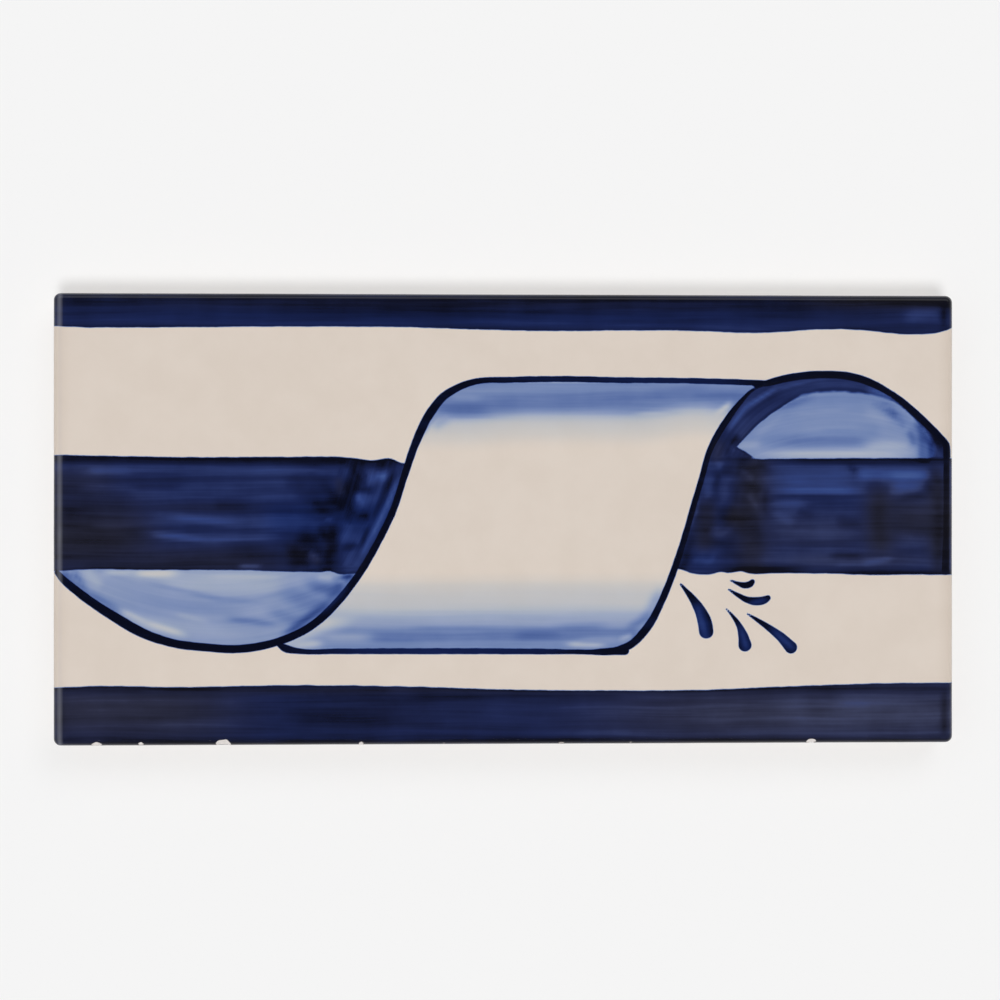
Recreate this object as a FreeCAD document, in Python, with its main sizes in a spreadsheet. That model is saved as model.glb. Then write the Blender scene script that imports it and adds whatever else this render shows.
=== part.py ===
import FreeCAD, Part
import math
import os
import Sketcher

# A border tile of the Victorian six inch by three inch size, pressed from earthenware in one piece and
# glazed on its face. It lies on its back: X runs along the border, Y across it towards the top of the
# pattern, and Z out of the glazed face. The origin is the middle of the back, on the plane of its ribs.
# Sizes are in millimetres and degrees.

DRIVING_SIZES = [
    ("tile_length", 152.0, "length of the face, along the border"),
    ("tile_width", 76.0, "width of the face, across the border"),
    ("tile_thickness", 9.0, "from the back to the face"),
    ("corner_radius", 1.2, "corners of the face, seen from the front"),
    ("arris_radius", 1.0, "rounding of the glazed edge round the face"),
    ("square_edge_depth", 3.4, "how far below the face the edge stays square, for a close joint"),
    ("edge_draft", 1.6, "lean of the edge below that, so that the tile leaves its die"),
    ("back_chamfer", 0.5, "broken edge round the back"),
    ("key_margin", 6.5, "plain margin of the back round the key"),
    ("key_rib", 2.8, "width of the ribs between the cells of the key, on the back plane"),
    ("key_depth", 0.8, "depth of the cells that hold the mortar"),
    ("key_draft", 20.0, "lean of the walls of the cells"),
    ("key_corner_radius", 1.5, "corners of the cells"),
    ("key_columns", 10, "cells along the border"),
    ("key_rows", 5, "cells across the border"),
]

TILE = "border_tile"
LEVEL_TOLERANCE = 0.001


def make_sheet(doc):
    """The driving sizes, one in each row: its meaning in column A, its number in column B."""
    sheet = doc.addObject("Spreadsheet::Sheet", "Sizes")
    for row, (alias, value, meaning) in enumerate(DRIVING_SIZES, start=1):
        sheet.set(f"A{row}", meaning)
        sheet.set(f"B{row}", str(value))
        sheet.setAlias(f"B{row}", alias)
    doc.recompute()
    return sheet


def make_level_sketch(body, name, height="0"):
    """An empty sketch on the body's XY plane, raised by the expression height."""
    plane = next(item for item in body.Origin.OriginFeatures if item.Role == "XY_Plane")
    sketch = body.newObject("Sketcher::SketchObject", name)
    sketch.AttachmentSupport = (plane, [""])
    sketch.MapMode = "FlatFace"
    sketch.setExpression("AttachmentOffset.Base.z", height)
    return sketch


def constrain(sketch, name, expression, *definition):
    """A named dimension of the sketch that follows an expression."""
    value = float(sketch.evalExpression(expression))
    index = sketch.addConstraint(Sketcher.Constraint(*definition, value))
    sketch.renameConstraint(index, name)
    sketch.setExpression(f"Constraints.{name}", expression)


def draw_rounded_rectangle(sketch, length, width, radius, to_left, to_bottom):
    """Four sides with four tangent corner arcs, all sized by expressions. The left side lies to_left
    from the origin, against X, and the bottom side to_bottom from it, against Y."""
    left = -float(sketch.evalExpression(to_left))
    bottom = -float(sketch.evalExpression(to_bottom))
    right = left + float(sketch.evalExpression(length))
    top = bottom + float(sketch.evalExpression(width))
    r = float(sketch.evalExpression(radius))
    up = FreeCAD.Vector(0, 0, 1)
    sides = [
        (right - r, top, left + r, top),
        (left, top - r, left, bottom + r),
        (left + r, bottom, right - r, bottom),
        (right, bottom + r, right, top - r),
    ]
    for x1, y1, x2, y2 in sides:
        start = FreeCAD.Vector(x1, y1, 0)
        end = FreeCAD.Vector(x2, y2, 0)
        sketch.addGeometry(Part.LineSegment(start, end), False)
    corners = [(right - r, top - r), (left + r, top - r), (left + r, bottom + r), (right - r, bottom + r)]
    for i, (x, y) in enumerate(corners):
        circle = Part.Circle(FreeCAD.Vector(x, y, 0), up, r)
        arc = Part.ArcOfCircle(circle, i * math.pi / 2, (i + 1) * math.pi / 2)
        sketch.addGeometry(arc, False)

    # Sides 0 to 3 are the top, left, bottom and right. Arc 4 + i ends where side i starts.
    start, end, origin = 1, 2, -1
    for i, direction in enumerate(["Horizontal", "Vertical", "Horizontal", "Vertical"]):
        next_arc = 4 + (i + 1) % 4
        sketch.addConstraint(Sketcher.Constraint("Tangent", i, start, 4 + i, end))
        sketch.addConstraint(Sketcher.Constraint("Tangent", i, end, next_arc, start))
        sketch.addConstraint(Sketcher.Constraint(direction, i))
    for arc in (5, 6, 7):
        sketch.addConstraint(Sketcher.Constraint("Equal", 4, arc))
    constrain(sketch, "length", length, "DistanceX", 1, start, 3, end)
    constrain(sketch, "width", width, "DistanceY", 2, start, 0, end)
    constrain(sketch, "radius", radius, "Radius", 4)
    constrain(sketch, "to_left", to_left, "DistanceX", 1, start, origin, 1)
    constrain(sketch, "to_bottom", to_bottom, "DistanceY", 2, start, origin, 1)


def edges_at_height(feature, height):
    """Names of the feature's edges that lie flat at this height."""
    names = []
    for number, edge in enumerate(feature.Shape.Edges, start=1):
        box = edge.BoundBox
        if abs(box.ZMin - height) < LEVEL_TOLERANCE and abs(box.ZMax - height) < LEVEL_TOLERANCE:
            names.append(f"Edge{number}")
    return names


def make_blank(doc, body):
    """The pressed blank: square-edged under the face, then drafted down to a broken back edge."""
    outline = make_level_sketch(body, "FaceOutline", "Sizes.tile_thickness - Sizes.square_edge_depth")
    draw_rounded_rectangle(
        outline,
        length="Sizes.tile_length",
        width="Sizes.tile_width",
        radius="Sizes.corner_radius",
        to_left="Sizes.tile_length / 2",
        to_bottom="Sizes.tile_width / 2",
    )
    doc.recompute()

    square_edge = body.newObject("PartDesign::Pad", "SquareEdge")
    square_edge.Profile = outline
    square_edge.setExpression("Length", "Sizes.square_edge_depth")
    doc.recompute()

    drafted_edge = body.newObject("PartDesign::Pad", "DraftedEdge")
    drafted_edge.Profile = outline
    drafted_edge.Reversed = True
    drafted_edge.setExpression("Length", "Sizes.tile_thickness - Sizes.square_edge_depth")
    drafted_edge.setExpression("TaperAngle", "-Sizes.edge_draft")
    doc.recompute()

    arris = body.newObject("PartDesign::Fillet", "GlazedArris")
    arris.Base = (drafted_edge, edges_at_height(drafted_edge, float(doc.Sizes.tile_thickness)))
    arris.setExpression("Radius", "Sizes.arris_radius")
    doc.recompute()

    back_edge = body.newObject("PartDesign::Chamfer", "BrokenBackEdge")
    back_edge.Base = (arris, edges_at_height(arris, 0.0))
    back_edge.setExpression("Size", "Sizes.back_chamfer")
    doc.recompute()
    return back_edge


def make_key(doc, body):
    """The key that the press leaves in the back: rows of shallow cells with leaning walls."""
    cell_length = (
        "(Sizes.tile_length - 2 * Sizes.key_margin - (Sizes.key_columns - 1) * Sizes.key_rib)"
        " / Sizes.key_columns"
    )
    cell_width = (
        "(Sizes.tile_width - 2 * Sizes.key_margin - (Sizes.key_rows - 1) * Sizes.key_rib)"
        " / Sizes.key_rows"
    )
    cell_outline = make_level_sketch(body, "CellOutline")
    draw_rounded_rectangle(
        cell_outline,
        length=cell_length,
        width=cell_width,
        radius="Sizes.key_corner_radius",
        to_left="Sizes.tile_length / 2 - Sizes.key_margin",
        to_bottom="Sizes.tile_width / 2 - Sizes.key_margin",
    )
    doc.recompute()

    cell = body.newObject("PartDesign::Pocket", "CornerCell")
    cell.Profile = cell_outline
    cell.Reversed = True
    cell.setExpression("Length", "Sizes.key_depth")
    cell.setExpression("TaperAngle", "-Sizes.key_draft")
    doc.recompute()

    key = body.newObject("PartDesign::LinearPattern", "Key")
    key.Originals = [cell]
    key.Direction = (cell_outline, ["H_Axis"])
    key.Mode = "Spacing"
    key.setExpression("Offset", f"{cell_length} + Sizes.key_rib")
    key.setExpression("Occurrences", "Sizes.key_columns")
    key.Direction2 = (cell_outline, ["V_Axis"])
    key.Mode2 = "Spacing"
    key.Spacings2 = [-1.0]  # no step of its own: every row steps by Offset2
    key.setExpression("Offset2", f"{cell_width} + Sizes.key_rib")
    key.setExpression("Occurrences2", "Sizes.key_rows")
    body.Tip = key
    doc.recompute()
    return cell


def check_model(doc, body, cell):
    """Stops on a failed object, an invalid solid, or a key that cut other than it should."""
    for item in doc.Objects:
        if "Invalid" in item.State or "Error" in item.State:
            raise RuntimeError(f"{item.Name} failed: {item.State}")
    shape = body.Shape
    if shape.isNull() or not shape.isValid() or len(shape.Solids) != 1:
        raise RuntimeError("the tile is not one valid solid")
    cell_volume = cell.BaseFeature.Shape.Volume - cell.Shape.Volume
    cells = int(doc.Sizes.key_columns * doc.Sizes.key_rows)
    key_volume = cell.BaseFeature.Shape.Volume - shape.Volume
    mouth_area = Part.Face(doc.CellOutline.Shape.Wires[0]).Area
    if not 0 < cell_volume < mouth_area * float(doc.Sizes.key_depth):
        raise RuntimeError("the cells should narrow as they go into the back")
    if abs(key_volume - cells * cell_volume) > 0.01 * cell_volume:
        raise RuntimeError("the key should have every one of its cells")
    return cell_volume, key_volume


def main():
    doc = FreeCAD.newDocument("VictorianBorderTile")
    make_sheet(doc)
    body = doc.addObject("PartDesign::Body", TILE)
    body.Label = TILE
    make_blank(doc, body)
    cell = make_key(doc, body)
    cell_volume, key_volume = check_model(doc, body, cell)

    os.makedirs("parts", exist_ok=True)
    body.Shape.exportStep(f"parts/{body.Label}.step")
    box = body.Shape.BoundBox
    print(f"{body.Label}: {box.XLength:.2f} x {box.YLength:.2f} x {box.ZLength:.2f} mm")
    print(f"volume {body.Shape.Volume:.0f} mm3, with {key_volume:.0f} mm3 pressed out by the key")
    print(f"one cell {cell_volume:.1f} mm3, faces {len(body.Shape.Faces)}")


main()
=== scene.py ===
# %% [markdown]
# # A hand-painted border tile
#
# The object is one earthenware tile of the Victorian six inch by three inch size. It was pressed from
# damp clay, fired, painted by hand with cobalt blue and glazed. A ribbon winds round a dark rod, between
# a dark band along the top and one along the bottom, and the pattern meets itself on the next tile.
#
# The tile is one piece, so the lesson has one mesh and one material, and most of it is about the paint.
# The brush strokes are smooth lines. The script measures how far each point of the face is from each of
# them, and the material turns those distances into crisp edges, washes and bristle marks.

import bpy
import numpy as np
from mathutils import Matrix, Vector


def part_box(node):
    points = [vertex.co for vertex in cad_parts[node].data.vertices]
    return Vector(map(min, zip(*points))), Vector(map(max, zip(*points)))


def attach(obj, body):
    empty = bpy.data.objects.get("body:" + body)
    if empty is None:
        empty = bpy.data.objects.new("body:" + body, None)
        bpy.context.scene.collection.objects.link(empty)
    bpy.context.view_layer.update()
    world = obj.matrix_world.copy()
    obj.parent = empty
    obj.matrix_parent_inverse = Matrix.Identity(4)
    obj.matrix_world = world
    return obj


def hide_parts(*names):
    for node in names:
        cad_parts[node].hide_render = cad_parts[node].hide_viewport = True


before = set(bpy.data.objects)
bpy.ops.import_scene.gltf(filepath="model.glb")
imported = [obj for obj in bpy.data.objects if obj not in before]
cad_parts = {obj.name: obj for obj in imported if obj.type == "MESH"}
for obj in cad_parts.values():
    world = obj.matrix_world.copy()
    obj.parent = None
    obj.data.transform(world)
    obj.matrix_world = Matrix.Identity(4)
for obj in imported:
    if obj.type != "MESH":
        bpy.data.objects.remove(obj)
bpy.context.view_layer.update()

MM = 0.001
half_length, half_width, thickness = np.array(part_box("border_tile")[1]) / MM
tile_half = np.array([half_length, half_width])
print(f"CAD tile: {2 * half_length:.1f} x {2 * half_width:.1f} x {thickness:.1f} mm")

# %% [markdown]
# ## Helpers
#
# Colours are written as they look on a screen, in hexadecimal sRGB. Blender works with linear light, so
# one function turns them. Another small function adds a node to a tree, sets it and links it.

# %% Helpers
def put_object(name, data):
    """A new object in the scene that holds this camera, light or mesh."""
    item = bpy.data.objects.new(name, data)
    bpy.context.scene.collection.objects.link(item)
    return item


def colour(hex_code):
    """A screen colour such as "D9CEC3" as linear red, green and blue, with full alpha.
    Below 0.04045 the sRGB curve is a straight line, and above it a power of 2.4."""
    screen = np.array([int(hex_code[i:i + 2], 16) for i in (0, 2, 4)]) / 255
    linear = np.where(screen <= 0.04045, screen / 12.92, ((screen + 0.055) / 1.055) ** 2.4)
    return (*linear.tolist(), 1.0)


def ease(value, start, end):
    """Goes smoothly from 0 at start to 1 at end."""
    t = np.clip((value - start) / (end - start), 0, 1)
    return t * t * (3 - 2 * t)


def empty_tree(owner):
    """The node tree of a material or world, cleared."""
    owner.use_nodes = True
    owner.node_tree.nodes.clear()
    return owner.node_tree


def add_node(tree, kind, inputs=None, stops=(), **settings):
    """Adds one node, whose type is "ShaderNode" and the kind. The settings are its own properties. Each
    entry of inputs names a socket, or gives its number, and holds a value, the output of another node, or
    a node, whose first output is linked. Sockets that the settings switch off are passed over. The stops
    of a ramp are pairs of a place and a colour, in order."""
    node = tree.nodes.new("ShaderNode" + kind)
    for name, value in settings.items():
        setattr(node, name, value)
    for key, value in (inputs or {}).items():
        named = [socket for socket in node.inputs if socket.enabled and socket.name == key]
        socket = named[0] if named else node.inputs[key]
        if isinstance(value, bpy.types.Node):
            value = next(output for output in value.outputs if output.enabled)
        if isinstance(value, bpy.types.NodeSocket):
            tree.links.new(value, socket)
        else:
            socket.default_value = value
    for number, (position, tint) in enumerate(stops):
        ramp = node.color_ramp.elements
        stop = ramp[number] if number < len(ramp) else ramp.new(1.0)
        stop.position = position
        stop.color = tint
    return node


page_grey = colour("F5F5F5")
print("page grey in linear light:", [round(value, 3) for value in page_grey[:3]])

# %% [markdown]
# ## The camera
#
# The photograph looks straight down on the tile from a stand. The left end of the tile looks a little
# taller than the right end, so the camera leans a few degrees to the left. A long lens keeps the edges
# of the tile nearly parallel, and the tile fills nine tenths of the picture's width. The Standard view
# shows the light as it is, so that a colour on the tile is the colour in the picture.

# %% Camera
IMAGE_SIZE = 1000
PIXELS_PER_MM = 5.93
TILE_CENTRE_PIXEL = (506.4, 519.2)
CAMERA_LEAN = np.radians(2.6)
LENS = 100.0
SENSOR = 36.0

camera = put_object("copy_stand_camera", bpy.data.cameras.new("copy_stand_camera"))
camera.data.lens = LENS
camera.data.sensor_width = SENSOR
camera.data.clip_start = 10 * MM

# The picture's centre falls on this point of the tile's face.
aim_x = (IMAGE_SIZE / 2 - TILE_CENTRE_PIXEL[0]) / PIXELS_PER_MM
aim_y = (TILE_CENTRE_PIXEL[1] - IMAGE_SIZE / 2) / PIXELS_PER_MM
camera_distance = IMAGE_SIZE / PIXELS_PER_MM * LENS / SENSOR
towards_camera = np.array([-np.sin(CAMERA_LEAN), 0.0, np.cos(CAMERA_LEAN)])
camera.location = (np.array([aim_x, aim_y, thickness]) + camera_distance * towards_camera) * MM
camera.rotation_euler = (0.0, -CAMERA_LEAN, 0.0)
bpy.context.scene.camera = camera
bpy.context.scene.view_settings.view_transform = "Standard"
print(f"camera {camera_distance:.0f} mm above the face")

# %% [markdown]
# ## The floor
#
# The tile lies on a plain pale floor. The camera sees floor and sky in the same page grey, so that they
# run into each other without a line. The floor glows a little for the camera alone, which keeps it even
# and leaves the tile a thin soft shadow.

# %% Floor
FLOOR_SIZE = 8.0
FLOOR_GAP = 0.02 * MM
FLOOR_GLOW = 0.5

floor_mesh = bpy.data.meshes.new("page_floor")
floor_corners = np.array([(-1, -1, 0), (1, -1, 0), (1, 1, 0), (-1, 1, 0)]) * FLOOR_SIZE / 2
floor_mesh.from_pydata(floor_corners - (0, 0, FLOOR_GAP), [], [(0, 1, 2, 3)])
put_object("page_floor", floor_mesh)

floor_paper = bpy.data.materials.new("matte_background_paper")
tree = empty_tree(floor_paper)
paper = add_node(tree, "BsdfDiffuse", {"Color": page_grey})
glow = add_node(tree, "Emission", {"Color": page_grey, "Strength": 1.0})
seen_by_camera = add_node(tree, "LightPath").outputs["Is Camera Ray"]
glow_share = add_node(tree, "Math", {0: seen_by_camera, 1: FLOOR_GLOW}, operation="MULTIPLY")
seen_paper = add_node(tree, "MixShader", {0: glow_share, 1: paper, 2: glow})
add_node(tree, "OutputMaterial", {"Surface": seen_paper})
floor_mesh.materials.append(floor_paper)
print(f"floor {FLOOR_SIZE:.0f} m wide, glowing by {FLOOR_GLOW:.0%} for the camera")

# %% [markdown]
# ## The sky
#
# A glazed face is a mirror, so what hangs straight over it matters. The sky is dark overhead, where the
# camera stands, so that the dark blues stay dark. Round that lies a bright ring, like the soft boxes of a
# copy stand, and under it the walls of the room fade and grow paler again towards the floor. Seen from
# the side, the glaze mirrors those steps, and that is what makes it look wet. In the photograph the lower
# and the right arris stay dark, so a black card hangs in the ring on that side.

# %% Sky
# Levels of the sky at these heights in degrees, on the open side and where the card hangs. The card fades
# in between two values of the dot product of a direction with the side that it hangs on.
SKY_HEIGHTS = np.array([0, 12, 26, 36, 44, 60, 67, 90])
OPEN_LEVELS = np.array([0.62, 0.42, 0.30, 0.36, 0.86, 0.86, 0.10, 0.04])
CARD_LEVELS = np.array([0.62, 0.42, 0.26, 0.16, 0.12, 0.10, 0.08, 0.04])
CARD_SIDE = (0.70, -0.71, 0.0)
CARD_EDGE = (0.05, 0.30)

world = bpy.data.worlds.new("studio_sky")
bpy.context.scene.world = world
tree = empty_tree(world)
direction = add_node(tree, "TexCoord").outputs["Generated"]
direction_parts = add_node(tree, "SeparateXYZ", {0: direction})
sky_places = np.sin(np.radians(SKY_HEIGHTS))
sky_ramps = []
for levels in (OPEN_LEVELS, CARD_LEVELS):
    stops = [(place, (level, level, level, 1.0)) for place, level in zip(sky_places, levels)]
    ramp = add_node(tree, "ValToRGB", {"Fac": direction_parts.outputs["Z"]}, stops)
    ramp.color_ramp.interpolation = "EASE"
    sky_ramps.append(ramp)

towards_card = add_node(tree, "VectorMath", {0: direction, 1: CARD_SIDE}, operation="DOT_PRODUCT")
on_card = add_node(
    tree, "MapRange", {"Value": towards_card, "From Min": CARD_EDGE[0], "From Max": CARD_EDGE[1]},
    interpolation_type="SMOOTHSTEP",
)
sky_colour = add_node(
    tree, "Mix", {"Factor": on_card, "A": sky_ramps[0], "B": sky_ramps[1]}, data_type="RGBA"
)
sky = add_node(tree, "Background", {"Color": sky_colour, "Strength": 1.0})
page = add_node(tree, "Background", {"Color": page_grey, "Strength": 1.0})
seen_by_camera = add_node(tree, "LightPath").outputs["Is Camera Ray"]
seen_sky = add_node(tree, "MixShader", {0: seen_by_camera, 1: sky, 2: page})
add_node(tree, "OutputWorld", {"Surface": seen_sky})

# The light that a level surface gets from the sky: over the half sphere, the level times the sine of the
# height. Height and turn are stepped evenly, as sine and as angle.
sines, turns = np.meshgrid(np.linspace(0, 1, 1001), np.linspace(0, 2 * np.pi, 721)[:-1])
open_sky, card_sky = (
    levels[0] + sum(
        step * ease(sines, low, high)
        for low, high, step in zip(sky_places[:-1], sky_places[1:], np.diff(levels))
    )
    for levels in (OPEN_LEVELS, CARD_LEVELS)
)
to_card = np.sqrt(1 - sines**2) * (CARD_SIDE[0] * np.cos(turns) + CARD_SIDE[1] * np.sin(turns))
whole_sky = open_sky + ease(to_card, *CARD_EDGE) * (card_sky - open_sky)
sky_light = 2 * np.pi * np.mean(whole_sky * sines)
print(f"the sky gives {sky_light / np.pi:.2f} of the light")

# %% [markdown]
# ## The lamps
#
# One wide lamp stands steeply over the lower edge of the tile, which throws the thin shadow over the
# upper edge, and a weaker one fills from the other side. Together with the sky they give every level
# surface just the light at which a colour comes out as it is written. The glaze mirrors the sky alone,
# because the lamps stand for wide cloths.

# %% Lamps
# Each lamp's height over the floor, side of the tile and width in degrees, and its share of the light
# that the sky leaves.
LAMPS = {
    "key_over_lower_edge": (72, -90, 16, 0.84),
    "fill_over_upper_edge": (50, 62, 30, 0.16),
}

for name, (lamp_height, side, width, share) in LAMPS.items():
    lamp = put_object(name, bpy.data.lights.new(name, "SUN"))
    lamp.data.angle = np.radians(width)
    lamp.data.energy = share * (np.pi - sky_light) / np.sin(np.radians(lamp_height))
    lamp.rotation_euler = (0, np.radians(90 - lamp_height), np.radians(side))
    lamp.visible_glossy = False
    print(f"{name}: {lamp.data.energy:.2f} W per square metre")

# %% [markdown]
# ## The grid of the face
#
# The face is a net of small quads. Its lines lie half a millimetre apart and closer where the brush
# strokes end in thin points, or where the lower edge is nicked. The paint is carried by the corners of
# the net, so the net has to be as fine as the finest stroke.
#
# The corners of the tile are rounded. The last lines of the net bunch up at each corner and fan out round
# it, fifteen degrees apart.

# %% Lines of the net
ARRIS_RADIUS = 1.0
CORNER_RADIUS = 1.2
COARSE_STEP = 0.56
FINE_STEP = 0.30
NICK_STEP = 0.22

# Nicks in the lower edge: where each is, its half width, and how far it bites into the face.
LOWER_NICKS = [
    (-68.6, 1.5, 0.66), (-61.4, 0.9, 0.64), (-47.5, 1.7, 1.05), (-24.5, 1.0, 0.58),
    (-10.5, 0.8, 0.50), (9.3, 1.0, 0.55), (20.8, 0.9, 0.52), (51.8, 1.2, 0.80),
]
# The spray, the right end of the upper lens and the nicks lie between these lines.
SPRAY_ACROSS = (29.0, 50.5, FINE_STEP)
SPRAY_UP = (-23.5, -9.0, FINE_STEP)
LENS_END = (66.0, 75.0, FINE_STEP)
NICKS_UP = (-37.0, -35.2, NICK_STEP)

corner_turns = np.radians([15.0, 30.0, 45.0])
inner_radius = CORNER_RADIUS - ARRIS_RADIUS


def net_lines(half, fine_spans):
    """Places of the lines from -half to half. The step between them is coarse, or finer inside the spans.
    One over the step is added up along the side, the sum is cut into equal parts, and the places are
    read back."""
    place = np.linspace(-half, half, 8001)
    step = np.full(place.shape, COARSE_STEP)
    for start, end, fine in fine_spans:
        inside = (place > start) & (place < end)
        step[inside] = np.minimum(step[inside], fine)
    count = np.cumsum(1 / step) * (place[1] - place[0])
    count -= count[0]
    parts = int(np.ceil(count[-1]))
    return np.interp(np.linspace(0, count[-1], parts + 1), count, place)


def round_loop(lines_x, lines_y):
    """The loop round a rounded rectangle, anticlockwise from its lower left corner: for each of its
    points the middle of the arc it belongs to, and its outward direction. Along a side the direction is
    square to the side, and over the last three points it turns by 45 degrees towards the next side.
    A point at radius r then lies at the middle plus r times the direction."""
    turn_x = np.concatenate([-corner_turns[::-1], np.zeros(lines_x.size), corner_turns])
    turn_y = np.concatenate([-corner_turns[::-1], np.zeros(lines_y.size), corner_turns])
    core_x = np.pad(lines_x, corner_turns.size, mode="edge")
    core_y = np.pad(lines_y, corner_turns.size, mode="edge")
    sides = [
        (core_x, np.full(core_x.size, core_y[0]), -np.pi / 2 + turn_x),
        (np.full(core_y.size, core_x[-1]), core_y, turn_y),
        (core_x[::-1], np.full(core_x.size, core_y[-1]), np.pi / 2 - turn_x[::-1]),
        (np.full(core_y.size, core_x[0]), core_y[::-1], np.pi - turn_y[::-1]),
    ]
    core = np.concatenate([np.stack([x, y], axis=1)[:-1] for x, y, _ in sides])
    angle = np.concatenate([angles[:-1] for _, _, angles in sides])
    return core, np.stack([np.cos(angle), np.sin(angle)], axis=1)


nick_spans = [(x - 1.2 * half, x + 1.2 * half, NICK_STEP) for x, half, _ in LOWER_NICKS]
lines_x = net_lines(half_length - CORNER_RADIUS, [SPRAY_ACROSS, LENS_END, *nick_spans])
lines_y = net_lines(half_width - CORNER_RADIUS, [SPRAY_UP, NICKS_UP])
core, outward = round_loop(lines_x, lines_y)
columns = lines_x.size + 2 * corner_turns.size
rows = lines_y.size + 2 * corner_turns.size
print(f"net of {columns} x {rows} lines, {len(core)} points round the edge")

# %% [markdown]
# ## The face
#
# The net is stretched between its four edges by a Coons patch: each point is the blend of the lower and
# upper edge, plus the blend of the left and right edge, less the blend of the four corners.
#
# A fired glaze is never quite flat. It is melted glass on a slightly uneven clay, and this is what bends
# the reflections in it. The face therefore dips by a few hundredths of a millimetre, in long soft waves.

# %% Face
GLAZE_DIP = 0.05
DIP_FADES_OVER = 6.0


def waves(x, y, length, seed, count=7):
    """Soft unevenness between -1 and 1: plane waves in random directions, about as long as length, are
    added up and divided by their count."""
    random = np.random.default_rng(seed)
    heading = random.uniform(0, 2 * np.pi, count)
    wavelength = length * random.uniform(0.7, 1.6, count)
    start = random.uniform(0, 2 * np.pi, count)
    total = np.zeros(np.shape(x))
    for angle, size, phase in zip(heading, wavelength, start):
        total += np.sin(2 * np.pi * (x * np.cos(angle) + y * np.sin(angle)) / size + phase)
    return total / count


edge_loop = core + inner_radius * outward
lower_edge = edge_loop[:columns]
right_edge = edge_loop[columns - 1:columns + rows - 1]
upper_edge = edge_loop[columns + rows - 2:2 * columns + rows - 2][::-1]
left_edge = np.roll(edge_loop, -1, axis=0)[2 * columns + rows - 4:][::-1]

across = ((lower_edge[:, 0] - lower_edge[0, 0]) / np.ptp(lower_edge[:, 0]))[None, :, None]
upward = ((left_edge[:, 1] - left_edge[0, 1]) / np.ptp(left_edge[:, 1]))[:, None, None]
face_plan = (
    (1 - upward) * lower_edge[None]
    + upward * upper_edge[None]
    + (1 - across) * left_edge[:, None]
    + across * right_edge[:, None]
    - (1 - across) * (1 - upward) * lower_edge[0]
    - across * (1 - upward) * lower_edge[-1]
    - (1 - across) * upward * upper_edge[0]
    - across * upward * upper_edge[-1]
)
face_x = face_plan[..., 0].ravel()
face_y = face_plan[..., 1].ravel()

# The dip fades to nothing at the edge of the face, where the arris starts.
from_edge = np.minimum(half_length - np.abs(face_x), half_width - np.abs(face_y)) - ARRIS_RADIUS
settle = np.clip(from_edge / DIP_FADES_OVER, 0, 1)
dip = GLAZE_DIP * (0.5 + 0.5 * waves(face_x, face_y, 26, seed=3))
dip += 0.2 * GLAZE_DIP * (0.5 + 0.5 * waves(face_x, face_y, 7, seed=4))
face_z = thickness - settle * dip
face_points = np.stack([face_x, face_y, face_z], axis=1)

net = np.arange(columns * rows).reshape(rows, columns)
face_quads = np.stack([net[:-1, :-1], net[:-1, 1:], net[1:, 1:], net[1:, :-1]], axis=-1).reshape(-1, 4)
edge_numbers = np.concatenate([net[0, :-1], net[:-1, -1], net[-1, :0:-1], net[:0:-1, 0]])
print(f"face: {len(face_quads)} quads, dipping {np.ptp(face_z):.3f} mm")

# %% [markdown]
# ## The edges
#
# Under the face the press rounds the arris, leaves a square edge so that the joint is close, and then
# leans inwards so that the tile leaves its die. A broken edge runs round the back. The section of the
# edge is carried round the loop of the face: each ring of points lies at one height and one distance
# outwards. The clay shrank unevenly, so the sides wander inwards by a few hundredths of a millimetre.

# %% Edges
SQUARE_EDGE_DEPTH = 3.4
EDGE_DRAFT = np.radians(1.6)
BACK_CHAMFER = 0.5
EDGE_WANDER = 0.05


def ring_quads(rings):
    """Quads between each ring of point numbers and the next one, all the way round."""
    next_along = np.roll(rings, -1, axis=1)
    return np.stack([rings[:-1], rings[1:], next_along[1:], next_along[:-1]], axis=-1).reshape(-1, 4)


arris_angles = np.radians(np.linspace(0, 90, 7)[1:])
square_edge_foot = thickness - SQUARE_EDGE_DEPTH
side_heights = np.array([7.3, 6.5, square_edge_foot, 4.4, 3.0, 1.6, BACK_CHAMFER])
side_outwards = ARRIS_RADIUS - np.tan(EDGE_DRAFT) * np.clip(square_edge_foot - side_heights, 0, None)
section_outwards = np.concatenate([
    ARRIS_RADIUS * np.sin(arris_angles),
    side_outwards,
    side_outwards[-1] - BACK_CHAMFER * np.array([0.2, 0.6, 1.0]),
])
section_heights = np.concatenate([
    thickness - ARRIS_RADIUS * (1 - np.cos(arris_angles)),
    side_heights,
    BACK_CHAMFER * np.array([0.62, 0.25, 0.0]),
])

wander = waves(core[:, 0], core[:, 1], 30, seed=5)[None] * np.ones((section_heights.size, 1))
wander += waves(core[:, 0][None] + 9 * section_heights[:, None], core[:, 1][None], 9, seed=6)
inset = EDGE_WANDER * np.clip(section_outwards / ARRIS_RADIUS, 0, 1)[:, None] * (0.5 + 0.25 * wander)
ring_radius = inner_radius + section_outwards[:, None] - inset
ring_plan = core + ring_radius[..., None] * outward
ring_z = np.broadcast_to(section_heights[:, None], ring_plan.shape[:2])
ring_points = np.concatenate([ring_plan, ring_z[..., None]], axis=2)

rings = np.arange(ring_z.size).reshape(ring_z.shape) + len(face_points)
rings = np.concatenate([edge_numbers[None], rings])
edge_quads = ring_quads(rings)
print(f"edges: {len(rings) - 1} rings, {len(edge_quads)} quads")

# %% [markdown]
# ## The key in the back
#
# The press leaves rows of shallow cells in the back, so that the mortar holds. One cell is a set of rings
# round its middle: the edge of its share of the back, the mouth, the leaning wall and the floor. All the
# cells are copies of it, set out in rows and columns, and points that fall together are made one.

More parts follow.
